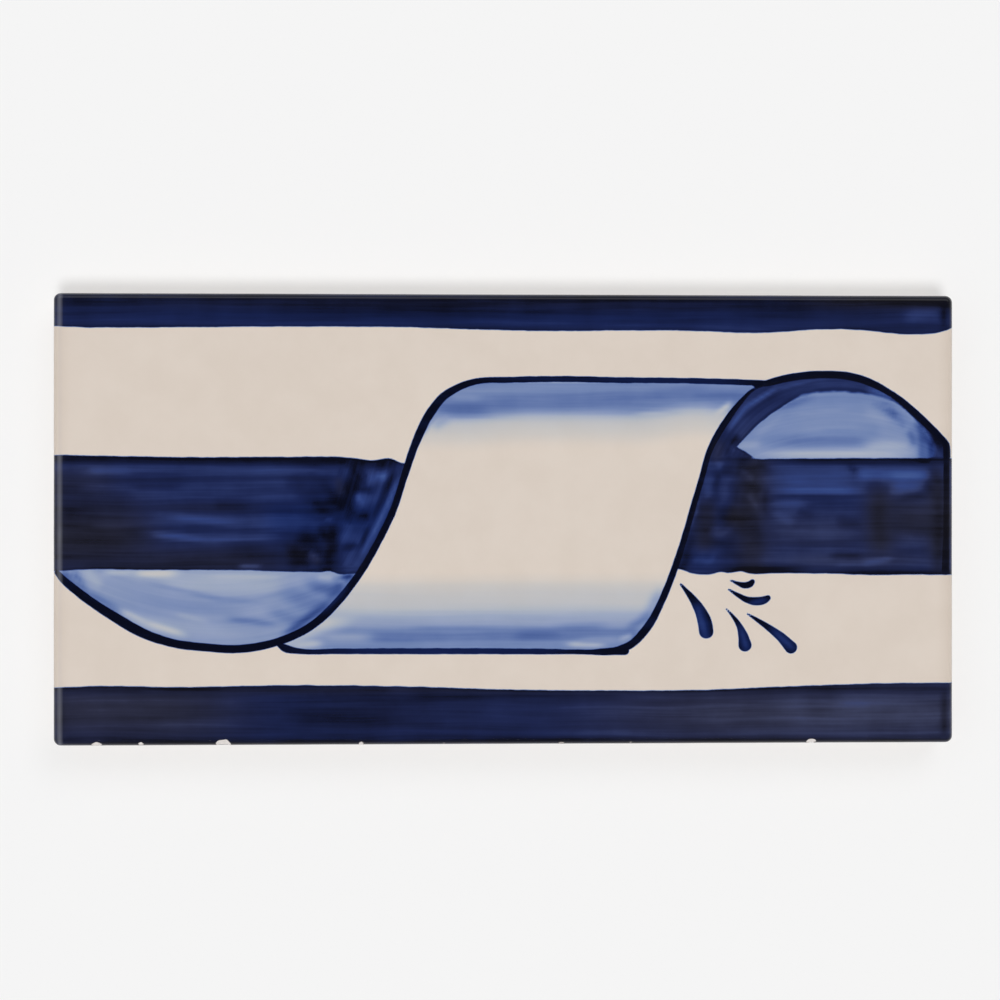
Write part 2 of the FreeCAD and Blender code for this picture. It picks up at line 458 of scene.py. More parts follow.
# %% Cells
KEY_MARGIN = 6.5
KEY_RIB = 2.8
KEY_DEPTH = 0.8
KEY_DRAFT = np.radians(20)
KEY_CORNER = 1.5
KEY_CELLS = np.array([10, 5])

cell_pitch = (2 * (tile_half - KEY_MARGIN) + KEY_RIB) / KEY_CELLS
cell_flat = (cell_pitch - KEY_RIB) / 2 - KEY_CORNER
cell_core, cell_outward = round_loop(*(np.linspace(-flat, flat, 5) for flat in cell_flat))

# The outermost ring runs square round the cell's share of the back. Each point goes outwards until it
# meets a side of that rectangle.
rib_reach = (KEY_CORNER + KEY_RIB / 2) * np.sqrt(2)
share_edge = np.clip(cell_core + rib_reach * cell_outward, -cell_pitch / 2, cell_pitch / 2)
wall_inset = KEY_DEPTH * np.tan(KEY_DRAFT)
cell_floor = cell_core + (KEY_CORNER - 1.5 * wall_inset) * cell_outward
# Each ring of the cell as its plan and its depth. The second and the third round off the mouth.
cell_rings = [
    (share_edge, 0.0),
    (cell_core + (KEY_CORNER + 0.18) * cell_outward, 0.0),
    (cell_core + (KEY_CORNER + 0.02) * cell_outward, 0.07),
    (cell_core + (KEY_CORNER - 0.8 * wall_inset) * cell_outward, 0.8 * KEY_DEPTH),
    (cell_floor, KEY_DEPTH),
    (0.6 * cell_floor, KEY_DEPTH),
    (0.25 * cell_floor, KEY_DEPTH),
]
one_cell = np.concatenate([np.column_stack([plan, np.full(len(plan), z)]) for plan, z in cell_rings])
one_cell = np.vstack([one_cell, (0, 0, KEY_DEPTH)])

round_cell = len(cell_core)
cell_net = np.arange(len(cell_rings) * round_cell).reshape(len(cell_rings), round_cell)
cell_quads = ring_quads(cell_net)
cell_middle = np.full(round_cell, len(one_cell) - 1)
cell_fan = np.stack([cell_net[-1], cell_middle, np.roll(cell_net[-1], -1)], axis=-1)

counts = np.stack(np.meshgrid(*map(np.arange, KEY_CELLS)), axis=-1)
middles = ((counts - (KEY_CELLS - 1) / 2) * cell_pitch).reshape(-1, 1, 2)
key_points = np.repeat(one_cell[None], len(middles), axis=0)
key_points[..., :2] += middles
first_number = (np.arange(len(middles)) * len(one_cell))[:, None, None]
key_quads = (cell_quads + first_number).reshape(-1, 4)
key_fans = (cell_fan + first_number).reshape(-1, 3)
key_points = np.round(key_points.reshape(-1, 3), 5)

# The key's points come after those of the face and the edges.
key_start = len(face_points) + ring_z.size
key_points, joined = np.unique(key_points, axis=0, return_inverse=True)
joined = joined.ravel() + key_start
key_quads = joined[key_quads]
key_fans = joined[key_fans]
print(f"key: {len(middles)} cells, {len(key_quads)} quads and {len(key_fans)} triangles")

# %% [markdown]
# ## The margin of the back
#
# Between the key and the broken edge lies a plain margin. Its two edges have different numbers of points,
# so it is closed like a zip. Going round both edges at once, each point that is passed makes a triangle
# with the point before it and the last point passed on the other edge.

# %% Margin
def way_round(points, half):
    """How far round a rectangle each point lies, from 0 at the lower left corner to 4, one for each side,
    anticlockwise. The side is the one that the point is nearest to, seen from the middle."""
    x, y = np.round(points[:, :2] / half, 6).T
    on_lower = (-y >= np.abs(x)) & (x < 1)
    on_right = (x >= np.abs(y)) & ~on_lower
    on_upper = (y >= np.abs(x)) & ~on_right
    along = np.select([on_lower, on_right, on_upper], [x, y, -x], -y)
    side = np.select([on_lower, on_right, on_upper], [0, 1, 2], 3)
    return side + (along + 1) / 2


def zip_loops(outer, inner, outer_way, inner_way):
    """Triangles between two loops of point numbers, which face downwards. outer_way and inner_way say how
    far round each point lies. For each step of one loop, the other loop's corner is the last one passed."""
    last_inner = np.searchsorted(inner_way, outer_way, side="right") - 1
    last_outer = np.searchsorted(outer_way, inner_way, side="left") - 1
    before_outer = np.roll(outer, 1)
    before_inner = np.roll(inner, 1)
    outer_steps = np.stack([outer, before_outer, inner[last_inner]], axis=-1)
    inner_steps = np.stack([before_inner, inner, outer[last_outer]], axis=-1)
    return np.vstack([outer_steps, inner_steps])


key_half = KEY_CELLS * cell_pitch / 2
rim = np.flatnonzero(np.any(np.abs(np.abs(key_points[:, :2]) - key_half) < 1e-4, axis=1))
rim_way = way_round(key_points[rim], key_half)
rim_order = np.argsort(rim_way)
rim = rim[rim_order] + key_start
rim_way = rim_way[rim_order]

last_ring_plan = ring_plan[-1]
last_ring_way = way_round(last_ring_plan, np.abs(last_ring_plan).max(axis=0))
ring_order = np.argsort(last_ring_way)
margin_faces = zip_loops(rings[-1][ring_order], rim, last_ring_way[ring_order], rim_way)
print(f"margin: {len(margin_faces)} triangles between {len(ring_order)} and {len(rim)} points")

# %% [markdown]
# ## Nicks in the lower edge
#
# The lower edge has lost small flakes of glaze where tiles knocked together. A flake breaks off along a
# slanting plane. Every point that lies outside the plane is moved back onto it, square to the plane, and
# how far it moved tells the material where the bare clay shows.

# %% Nicks
NICK_SLOPE = np.radians(32)
NICK_ZONE = 4.0  # No flake reaches further than this from the lower edge.

points = np.concatenate([face_points, ring_points.reshape(-1, 3), key_points])
x, y, z = points.T

nick_normal = np.array([0.0, -np.cos(NICK_SLOPE), np.sin(NICK_SLOPE)])
nick_bare = np.full(len(points), -1.0)
near_lower_edge = (y < NICK_ZONE - half_width) & (z > BACK_CHAMFER)
for middle, half, bite in LOWER_NICKS:
    across_nick = (x - middle) / half + 0.25 * waves(x, z, 1.6, seed=int(50 + abs(middle)))
    depth = bite * (1 - np.abs(across_nick) ** 2.2) + 0.10 * waves(x, z, 1.1, seed=int(90 + abs(middle)))
    outside = (y - (depth - half_width)) * nick_normal[1] + (z - thickness) * nick_normal[2]
    outside = np.where(near_lower_edge & (np.abs(across_nick) < 1.1), outside, -1.0)
    nick_bare = np.maximum(nick_bare, outside)
points -= np.clip(nick_bare, 0, None)[:, None] * nick_normal
x, y, z = points.T
print(f"nicks: {np.count_nonzero(nick_bare > 0)} points moved back, by {nick_bare.max():.2f} mm at most")

# %% [markdown]
# ## Brush strokes as smooth lines
#
# The painter drew the ribbon with a long, loaded liner brush. Each stroke is a smooth line through a few
# points that were placed over the photograph. A point is its place on the face, in millimetres
# from the middle of the tile, and half the width of the stroke there.

# %% Strokes
def brush_path(placed, step=0.6):
    """A smooth line through given points. Between two of them it is a cubic curve that leaves each
    point in the direction of its two neighbours."""
    placed = np.array(placed, dtype=float)
    gaps = np.hypot(*np.diff(placed[:, :2], axis=0).T)
    way = np.concatenate([[0.0], np.cumsum(gaps)])
    slope = np.gradient(placed, way, axis=0)
    stops = np.linspace(0, way[-1], int(way[-1] / step) + 2)
    piece = np.clip(np.searchsorted(way, stops, side="right") - 1, 0, len(way) - 2)
    length = (way[piece + 1] - way[piece])[:, None]
    t = (stops - way[piece])[:, None] / length
    return (
        (2 * t**3 - 3 * t**2 + 1) * placed[piece]
        + (t**3 - 2 * t**2 + t) * length * slope[piece]
        + (3 * t**2 - 2 * t**3) * placed[piece + 1]
        + (t**3 - t**2) * length * slope[piece + 1]
    )


# From the left end, round the lower turn of the ribbon, up its left side and along its top.
left_side_stroke = brush_path([
    (-75.4, -8.8, 0.42), (-74.6, -9.75, 0.56), (-72.1, -11.9, 0.72), (-69.3, -14, 0.74), (-64.4, -17.1, 0.84),
    (-61.9, -18.55, 0.84), (-56.1, -20.7, 0.72), (-50.2, -21.5, 0.7), (-44.1, -21.75, 0.7),
    (-38.6, -20.75, 0.66), (-32.4, -17.95, 0.67), (-27.95, -13.9, 0.68), (-24.25, -9.15, 0.61),
    (-21.2, -3.95, 0.6), (-18.55, 1.5, 0.58), (-16.65, 7.3, 0.58), (-14.7, 13, 0.7), (-11.95, 18.4, 0.74),
    (-10, 20.7, 0.68), (-7.6, 22.2, 0.6), (-4.9, 23.15, 0.52), (1.2, 23.5, 0.52), (10.4, 23.65, 0.52),
    (19.5, 23.5, 0.5), (31.8, 23.4, 0.48), (41, 23.15, 0.48), (44.5, 23, 0.48),
])
# Along the bottom of the ribbon, where the brush was set down again for the right side.
bottom_stroke = brush_path([
    (-37.6, -21.2, 0.5), (-36.9, -21.65, 0.66), (-35.6, -22, 0.56), (-34.4, -22.18, 0.48), (-28, -22.2, 0.47),
    (-20, -22.22, 0.5), (0, -22.28, 0.5), (8.7, -22.35, 0.46), (12, -22.4, 0.4), (14.8, -22.45, 0.46),
    (17.2, -22.4, 0.6), (19, -22.3, 0.68), (20.6, -22.3, 0.68),
])
# Up the right side of the ribbon, where it thins out under the upper turn.
right_side_stroke = brush_path([
    (19.4, -22, 0.5), (21.3, -21.35, 0.64), (22.8, -20.15, 0.68), (24.1, -18.65, 0.68), (25.2, -17, 0.66),
    (26.4, -14.65, 0.6), (27.6, -11.95, 0.58), (28.75, -8.9, 0.57), (30.8, -2.6, 0.52), (32.2, 2.4, 0.49),
    (33.55, 7, 0.49), (35, 11.9, 0.5), (36.9, 15.4, 0.56), (39.5, 19.1, 0.46), (41.9, 21.7, 0.26),
    (44.2, 23, 0.34),
])
# Over the upper turn of the ribbon, and down the right end of the rod.
upper_turn_stroke = brush_path([
    (43, 22.75, 0.26), (44.3, 22.95, 0.5), (47.3, 23.75, 0.62), (53.5, 24.5, 0.64), (59.9, 23.9, 0.66),
    (65.7, 21.15, 0.54), (70.7, 16.95, 0.64), (73.5, 14.1, 0.62), (74.8, 12.6, 0.58), (75, 10.6, 0.58),
])
rod_end_stroke = brush_path([(74.85, 12.6, 0.55), (74.85, 6, 0.5), (74.8, -3, 0.52), (74.7, -8.8, 0.66)])

# The spray of five short strokes under the ribbon. Each starts with the tip of the brush and ends fat.
SPRAY = [
    [(30, -11, 0.2), (31, -12.2, 0.38), (32.1, -13.6, 0.64), (33.25, -15.4, 0.94), (34.1, -17.6, 1.2),
     (34.3, -19, 1.22)],
    [(37.7, -15.2, 0.12), (39, -16.7, 0.32), (39.95, -18.2, 0.52), (40.5, -19.7, 0.8), (40.85, -21.3, 1.12)],
    [(41.2, -16, 0.15), (43.2, -17.25, 0.38), (45.2, -18.65, 0.58), (47.1, -20.15, 0.82),
     (48.6, -21.75, 1.06)],
    [(38.1, -11.9, 0.18), (39.7, -12.9, 0.38), (41.2, -13.65, 0.54), (42.8, -13.9, 0.72), (44.1, -13.7, 0.66),
     (44.7, -13.35, 0.48)],
    [(38.4, -10.35, 0.14), (39.7, -10.9, 0.34), (40.9, -11.2, 0.56), (41.8, -10.95, 0.54),
     (42.1, -10.6, 0.42)],
]
strokes = [left_side_stroke, bottom_stroke, right_side_stroke, upper_turn_stroke, rod_end_stroke]
strokes += [brush_path(placed, step=0.25) for placed in SPRAY]
print(f"{len(strokes)} strokes, the longest {0.6 * len(left_side_stroke):.0f} mm")

# %% [markdown]
# ## How far each point is from the paint
#
# A distance is a good way to store an edge. It runs smoothly from point to point of the net, so that the
# material can cut it anywhere and gets a crisp line, much finer than the net.
#
# The strokes were placed between the two ends of the tile as they look in the picture. The camera leans,
# which draws the far half a little shorter, so a point in the middle of the tile is looked up half a
# millimetre further along.

# %% Distances
FAR_OFF = 50.0
PICTURE_SHIFT = 0.56
PAINT_FOOT = 3.0


def distance_to_stroke(x, y, path, margin=4.0):
    """Distance in millimetres to the edge of a stroke, negative in the paint. For each short piece of the
    path, the nearest place on it is found, and the half width there is taken off the distance. The
    smallest value wins. Points further than the margin from the stroke's box are left far off."""
    distance = np.full(x.shape, FAR_OFF)
    near = (
        (x > path[:, 0].min() - margin) & (x < path[:, 0].max() + margin)
        & (y > path[:, 1].min() - margin) & (y < path[:, 1].max() + margin)
    )
    px, py = x[near], y[near]
    nearest = np.full(px.shape, FAR_OFF)
    for (ax, ay, a_half), (bx, by, b_half) in zip(path[:-1], path[1:]):
        t = ((px - ax) * (bx - ax) + (py - ay) * (by - ay)) / ((bx - ax) ** 2 + (by - ay) ** 2)
        t = np.clip(t, 0, 1)
        gap = np.hypot(px - ax - t * (bx - ax), py - ay - t * (by - ay)) - a_half - t * (b_half - a_half)
        nearest = np.minimum(nearest, gap)
    distance[near] = nearest
    return distance


def distance_to_outline(x, y, outline):
    """Distance to a closed outline, negative inside it. A point is inside if a ray from it crosses the
    outline an odd number of times."""
    closed = np.vstack([outline, outline[:1]])
    line = np.column_stack([closed, np.zeros(len(closed))])
    distance = distance_to_stroke(x, y, line, margin=FAR_OFF)
    inside = np.zeros(x.shape, dtype=bool)
    for (ax, ay), (bx, by) in zip(closed[:-1], closed[1:]):
        if ay != by:
            crosses = ((y > ay) != (y > by)) & (x < ax + (y - ay) * (bx - ax) / (by - ay))
            inside ^= crosses
    return np.where(inside, -distance, distance)


def height_of(x, placed):
    """Height of a freehand edge above each x: a smooth line through given points."""
    path = brush_path([(px, py, 0) for px, py in placed])
    return np.interp(x, path[:, 0], path[:, 1])


# Only the points above this height can carry paint.
painted = z > PAINT_FOOT
px = x[painted] + PICTURE_SHIFT * (1 - (x[painted] / half_length) ** 2)
py = y[painted]
height = z[painted]
line_edge = np.full(px.shape, FAR_OFF)
for stroke in strokes:
    line_edge = np.minimum(line_edge, distance_to_stroke(px, py, stroke))
print(f"{np.count_nonzero(line_edge < 0)} of {px.size} points lie under the lines")

# %% [markdown]
# ## Dark fields: two bands, the rod and the inside of the upper turn
#
# These were filled with a broad brush, full of paint, that ran over both ends of the tile. A field is what
# lies under one freehand edge and over another, so its distance is the greater of the distances to its
# sides.

# %% Fields
TURN_END = 74.8
TURN_FOOT = 10.0
OVERRUN_HEIGHT = 7.3

top_band = height_of(px, [
    (-76, 32.4), (-72.5, 32.2), (-65, 32.15), (-40, 32.35), (-15, 32.3), (-4, 31.95), (10, 31.75), (24, 31.9),
    (34, 31.8), (41, 31.5), (54, 32.15), (58, 32.2), (62, 31.9), (66, 31.5), (70, 31.35), (73.2, 31.6),
    (74.8, 32), (76, 32.6),
]) - py
bottom_band = py - height_of(px, [
    (-76, -28.2), (-70, -27.95), (-55, -28.15), (-35, -27.9), (-15, -28.2), (0, -28.7), (20, -28.95),
    (35, -28.85), (45, -28.45), (57, -28.05), (65, -27.85), (74, -27.8), (76, -27.8),
])

# The two sides of the ribbon as x at each height.
rising = left_side_stroke[(left_side_stroke[:, 0] > -40) & (left_side_stroke[:, 0] < -6)]
ribbon_left = np.interp(py, rising[:, 1], rising[:, 0])
ribbon_right = np.interp(py, right_side_stroke[:, 1], right_side_stroke[:, 0])

left_rod_top = height_of(px, [
    (-76, 10.8), (-70, 10.7), (-55, 10.45), (-35, 10.5), (-28, 10.5), (-25, 10.3), (-22, 9.95),
    (-20.5, 10.15), (-19.2, 10.3), (-18.3, 10), (-17.3, 9.5), (-15, 9.5),
])
left_rod_foot = height_of(px, [
    (-76, -8.7), (-70, -8.4), (-60, -8.5), (-45, -8.55), (-34, -8.85), (-30.4, -8.85), (-29, -8.75),
    (-28, -9.2), (-27.2, -9.35), (-26.2, -9.25), (-25.2, -9.2), (-20, -9),
])
right_rod_top = height_of(px, [(28, 10.2), (42, 10.2), (57, 10.3), (63, 10.35), (67, 10.35), (76, 10.35)])
right_rod_foot = height_of(px, [
    (28, -8.2), (30.4, -8.6), (31.6, -9.1), (34, -9.4), (35.5, -9.25), (36.8, -8.95), (38.2, -9.15),
    (40.3, -8.85), (41.6, -9.2), (46, -9.2), (55, -9.25), (62, -9.5), (69, -9.45), (76, -9.45),
])
left_rod = np.maximum.reduce([py - left_rod_top, left_rod_foot - py, px - ribbon_left])
right_rod = np.maximum.reduce([py - right_rod_top, right_rod_foot - py, ribbon_right - px])

# The lens of light inside the upper turn.
upper_lens_outline = brush_path([
    (39.4, 12.15, 0), (40.7, 13.6, 0), (42.8, 15.75, 0), (47, 18.95, 0), (51, 21.1, 0), (56, 21.6, 0),
    (61.5, 21.2, 0), (65.8, 20, 0), (69.6, 16.9, 0), (72.4, 13.4, 0), (73, 11.8, 0), (72.6, 10.35, 0),
    (62, 10.35, 0), (50, 10.25, 0), (42.7, 10.15, 0), (41.6, 11, 0), (40.7, 11.6, 0), (39.4, 12.15, 0),
])[:, :2]
upper_lens = distance_to_outline(px, py, upper_lens_outline[:-1])

# Along its top and at its right end the lens was wiped into the dark, so its edge is softer there.
wiped = np.maximum(0.6 * ease(py, 18.5, 20.5) * ease(px, 44, 52), 0.7 * ease(px, 68.5, 70.5))
upper_lens = upper_lens * (1 - wiped)
turn_top = height_of(px, [
    (30, 23), (44.1, 23), (53.5, 24.5), (59.9, 23.9), (65.7, 21.1), (70.7, 16.8), (75, 12),
])
upper_turn = np.maximum.reduce([ribbon_right - px, py - turn_top, TURN_FOOT - py, px - TURN_END])
upper_turn_dark = np.maximum(upper_turn, -upper_lens)

field_edge = np.minimum.reduce([top_band, bottom_band, left_rod, right_rod, upper_turn_dark])

# The broad brush ran over the arris and left the paint ragged on the sides.
overrun_foot = OVERRUN_HEIGHT + 0.5 * waves(px, py, 9, seed=41) + 0.25 * waves(px, py, 3, seed=42)
field_edge = np.maximum(field_edge, overrun_foot - height)
print(f"{np.count_nonzero(field_edge < 0)} points lie in the dark fields")

# %% [markdown]
# ## Strength of the paint
#
# Thin cobalt is a pale grey blue, a full brush gives navy, and where two strokes cross it is nearly
# black. All of that is one number, the strength, from 0 for bare glaze to 1 for the thickest paint. The
# painter's separate touches are laid over the fields and washes one after another, each as a soft line
# with its own half width and strength.

# %% Touches of the brush
def lay(strength, x, y, touches):
    """Lays soft touches over a strength. A touch is its two ends, its half width and its own strength.
    Its cover is a bell curve across the touch, and along it a flatter bell that ends half a width past
    each end."""
    for ax, ay, bx, by, half, wanted in touches:
        length = np.hypot(bx - ax, by - ay)
        to_x, to_y = (bx - ax) / length, (by - ay) / length
        from_x, from_y = x - (ax + bx) / 2, y - (ay + by) / 2
        along = (from_x * to_x + from_y * to_y) / (length / 2 + half)
        across = (from_y * to_x - from_x * to_y) / half
        strength = strength + np.exp(-(across**2) - 1.6 * along**4) * (wanted - strength)
    return strength


# The rod left of the ribbon was filled with level strokes.
left_rod_load = lay(0.89, px, py, [
    (-84, 1, -68, 1, 9, 0.965), (-80, -4, -64, -4, 4, 0.965), (-66, -6.6, -37, -6.6, 2.3, 0.955),
    (-75.5, 5, -74, -6, 1.6, 0.96), (-78, 8.5, -20, 8.5, 0.75, 0.845), (-71.5, 8, -62.5, 8.1, 0.8, 0.82),
    (-71, 5.4, -61, 5.6, 0.7, 0.89), (-80, 6.9, -48, 6.8, 0.6, 0.92), (-66, 4.3, -33, 4, 1, 0.85),
    (-66, 1.9, -27, 1.8, 0.8, 0.925), (-48, 2.3, -44, 2.1, 0.9, 0.945), (-55.5, 0.2, -44, -0.7, 0.6, 0.79),
    (-47, -0.8, -30, -0.9, 0.8, 0.84), (-57, -1.9, -36, -2, 0.5, 0.92), (-59.6, -2.4, -49, -3.5, 0.55, 0.785),
    (-51, -3.4, -38, -3.1, 0.6, 0.815), (-40, -3.2, -33, -3.3, 0.5, 0.865), (-58, -6.3, -42, -6.4, 0.4, 0.92),
    (-70, -8.1, -50, -8.1, 0.5, 0.97), (-44.4, -7.9, -41, -8, 0.4, 0.775), (-38, 4.9, -33, 4.7, 1.2, 0.87),
    (-38, -1, -32, -1.1, 0.8, 0.86), (-72, 1.4, -60, 1.2, 0.5, 0.945), (-70, -1.2, -60, -1.3, 0.4, 0.915),
    (-72, -5.2, -62, -5.3, 0.4, 0.96), (-74, 8.3, -70, 8.3, 0.7, 0.9), (-62, 5.6, -55, 5.5, 0.6, 0.925),
    (-46, -5.6, -37, -5.9, 1.6, 0.955),
])

# Beside the ribbon they are blue, and follow its side.
beside_ribbon = ease(px + 0.6 * waves(px, py, 4, seed=21), -28.6, -27.4)
blue_strokes = lay(0.885, px, py, [
    (-23, 6.7, -19.6, 7.3, 0.9, 0.79), (-20.9, 7.4, -19.8, 7, 0.5, 0.72), (-23.9, 6.7, -23.3, 5.8, 0.5, 0.93),
    (-24.3, 5.2, -22.5, 4.8, 0.55, 0.975), (-24.8, 4, -23.6, 3, 0.6, 0.73),
    (-23.6, 3.2, -21.6, 3.5, 0.9, 0.83), (-18.5, 7.8, -20.3, 3.6, 0.65, 0.99),
    (-20.1, 4, -22.2, 0.2, 0.6, 0.96), (-22.9, -1.4, -23.8, -4.2, 0.6, 0.96),
    (-17.7, 6.6, -19.9, 1.4, 0.4, 0.77), (-19.8, 1.8, -22.5, -3.6, 0.5, 0.775),
    (-22.2, -2.8, -23.7, -5.8, 0.45, 0.825), (-27.4, -2.7, -25, -3.2, 1, 0.85),
    (-27.4, -0.9, -23.4, -1, 0.4, 0.87), (-27, -4.9, -24.8, -4.5, 0.55, 0.97),
    (-27.4, -6.4, -25.2, -7.4, 1.2, 0.855), (-28.4, -9, -27, -9, 0.5, 0.92),
    (-22.4, 9.3, -18.4, 9.3, 0.7, 0.985),
])
left_rod_load += beside_ribbon * (blue_strokes - left_rod_load)

# Between the two lies a row of dark dabs, in the shade of the ribbon. A dab is never quite straight, so
# these are laid on slightly bent coordinates.
dab_x = px + 0.6 * waves(px, py, 3, seed=61)
dab_y = py + 0.6 * waves(px, py, 3, seed=62)
left_rod_load = lay(left_rod_load, dab_x, dab_y, [
    (-36, 6.4, -30.4, 6.6, 1.3, 0.925), (-31, 8.4, -27, 8.4, 0.8, 0.89), (-35.6, -4.6, -29, -6.8, 2.2, 0.95),
    (-28.8, -5.4, -28.2, -8.2, 0.9, 0.94), (-34, 3.8, -30, 4.4, 1.2, 0.925), (-38, 9.6, -18, 9.5, 0.7, 0.97),
    (-31.6, 0.3, -24, 0.2, 0.8, 0.94), (-25, 9.4, -24.5, 7, 1.2, 1), (-26.2, 6.2, -26, 4, 1.2, 1),
    (-30.2, 5.9, -29.3, 4.5, 1.3, 0.95), (-28.6, 2.8, -26.9, 2.4, 1.4, 1),
    (-31.6, 2.4, -29.6, 2.2, 1.2, 0.985), (-26.8, 2.6, -25, 1.3, 1, 1), (-24.3, 0.6, -23, 0.2, 0.7, 0.985),
    (-33.2, 2.9, -32.4, 1.2, 0.7, 0.925), (-28.7, -1.4, -29, -4.6, 1.1, 1),
    (-29.2, -4.4, -29.7, -8.4, 1.2, 1), (-33.6, -3.5, -31.6, -3.9, 1.2, 0.985),
    (-35.9, -5.3, -33.4, -6, 1.2, 1), (-35.4, -7, -33.4, -7.3, 1, 1), (-31.4, -7.8, -29.6, -8.1, 0.8, 0.98),
    (-32.2, -6, -31.4, -6.6, 0.5, 0.88), (-29.8, -0.1, -29, -0.5, 0.5, 0.87),
    (-27.6, 1.2, -26.9, 0.7, 0.5, 0.93), (-27.3, 8.6, -26.6, 7.4, 0.6, 0.885),
    (-28.3, 6.2, -27.9, 5, 0.5, 0.915), (-31.2, -4.9, -30.6, -5.8, 0.5, 0.975),
    (-25.2, 9.2, -22.6, 9.2, 0.7, 0.99), (-25.4, 6.6, -24.8, 4.9, 0.9, 1), (-24, 8.4, -23.3, 7, 0.5, 0.95),
    (-28.4, 3.6, -27, 2.8, 1.2, 1), (-30.6, -2, -29.4, -3.4, 0.9, 0.985), (-33.4, -3, -32, -4.2, 1, 0.985),
    (-26.4, 1.6, -25.6, -0.4, 0.7, 0.97),
])
# The painter drew the rod's upper edge over all of them.
left_rod_load = lay(left_rod_load, px, py, [(-110, 10.05, 8, 9.95, 0.62, 1)])

# The rod right of the ribbon: level strokes in the light, with a dark blot over them.
right_rod_load = lay(0.885, px, py, [
    (44, 7.2, 61, 7.2, 2.4, 0.83), (45.2, 4.9, 60.4, 4.8, 0.6, 0.755), (45, 8.8, 58, 8.7, 0.4, 0.84),
    (47, 6.2, 58, 6.1, 0.35, 0.805), (46, 7.6, 57, 7.6, 0.3, 0.84), (44, 3.8, 61, 3.8, 0.35, 0.92),
    (58.6, 9, 59.6, 8, 0.6, 0.92), (60.6, 7.4, 64.6, 7.2, 0.9, 0.705), (64.6, 7.3, 71.4, 7.4, 1.1, 0.71),
    (60.8, 8.4, 63.8, 8.3, 0.6, 0.79), (65.8, 5.6, 70, 5.4, 1, 0.78), (65.4, 4.4, 67.6, 4.3, 0.4, 0.82),
    (60, 9, 74, 9, 0.4, 0.86), (46, 2.7, 50.6, 2.4, 0.9, 0.82), (46.2, 0.6, 48.6, -0.4, 0.9, 0.83),
    (50, 1.2, 52, 0.7, 0.5, 0.92), (46, -2.4, 56.5, -2.6, 1.3, 0.855), (57.2, -0.4, 60, -0.9, 1, 0.945),
    (52, 3, 61, 3, 0.4, 0.925), (50, -4.2, 60, -4.2, 0.4, 0.91), (44, -6.4, 56, -6.6, 1.3, 0.88),
    (55.4, -6.2, 60.4, -6.3, 0.45, 0.955), (56.4, -7.7, 60.6, -7.5, 0.4, 0.84),
    (60.8, -7.5, 65.6, -6.7, 0.55, 0.79), (66, -7.4, 72, -7.2, 0.6, 0.885),
    (63.2, 5.4, 63.8, -4.4, 2.3, 0.945), (63.3, 1.5, 63.9, -2.8, 1, 0.97), (66, -0.8, 76, -1, 3.4, 0.945),
    (67, -3.3, 71.4, -3.6, 1, 0.88), (66.4, 3.2, 75, 4.8, 0.7, 0.945), (72.6, 8.6, 74.6, 4, 1, 0.93),
    (72, 5.6, 73.4, 3.6, 0.9, 0.96), (73.6, 6, 73.6, -9, 1.2, 0.975), (66, -5.4, 73, -5.2, 0.4, 0.935),
    (67, 1.2, 73, 1, 0.4, 0.91),
])

# In the shade of the turn it was dabbed upright, and left duller.
right_rod_load = lay(right_rod_load, dab_x, dab_y, [
    (41.4, 11, 41.6, -10, 3.2, 0.945), (34.6, 4, 33.6, -6, 2.5, 0.955), (38.2, 3, 38, -4, 1.2, 0.955),
    (41.2, 6.2, 42.4, 5, 1.1, 0.97), (40.2, 9.6, 41.2, 8.4, 0.9, 0.97), (40.7, 7.7, 41.9, 7, 0.6, 0.88),
    (42, 4.2, 42.6, 2, 0.6, 0.885), (44.3, 4.4, 44.4, 1, 0.6, 0.95), (37.6, 0.5, 41.4, 0.2, 1.4, 0.985),
    (42.2, -1.4, 42.8, -4.4, 1.4, 0.955), (37.9, 7, 37.4, 2.8, 0.85, 0.88), (34.7, 7, 34.2, 3.6, 0.8, 0.86),
    (36.2, 7.6, 35.9, 5, 0.5, 0.945), (38.9, 9.2, 37.2, 8.2, 0.8, 0.94), (33.8, 1.4, 34.6, -2.2, 1.2, 0.96),
    (35.6, -2.1, 38.2, -2.4, 0.8, 0.865), (33.6, -4, 38.8, -4.2, 0.8, 0.955),
    (38.4, -5.4, 41.8, -7.2, 1.5, 0.95), (32.8, -7, 35.4, -6.6, 1.25, 0.87),
    (34, -7.2, 35.4, -6.9, 0.5, 0.85), (39.6, 5.4, 39.2, 3, 0.5, 0.945), (33.5, 4.2, 32, -1.4, 0.3, 0.875),
    (31.8, -3, 30.2, -8.2, 1, 0.975), (36, 9.9, 36.8, 9.4, 0.5, 0.83), (42, 9.2, 44, 8.9, 0.8, 0.97),
])
# Its upper and lower edges were drawn last, the lower one nearly black.
right_rod_load = lay(right_rod_load, px, py, [
    (43, 9.85, 90, 9.9, 0.6, 0.995), (37.6, -8.6, 51, -8.8, 0.9, 1), (50, -9.1, 110, -9.2, 0.5, 1),
])

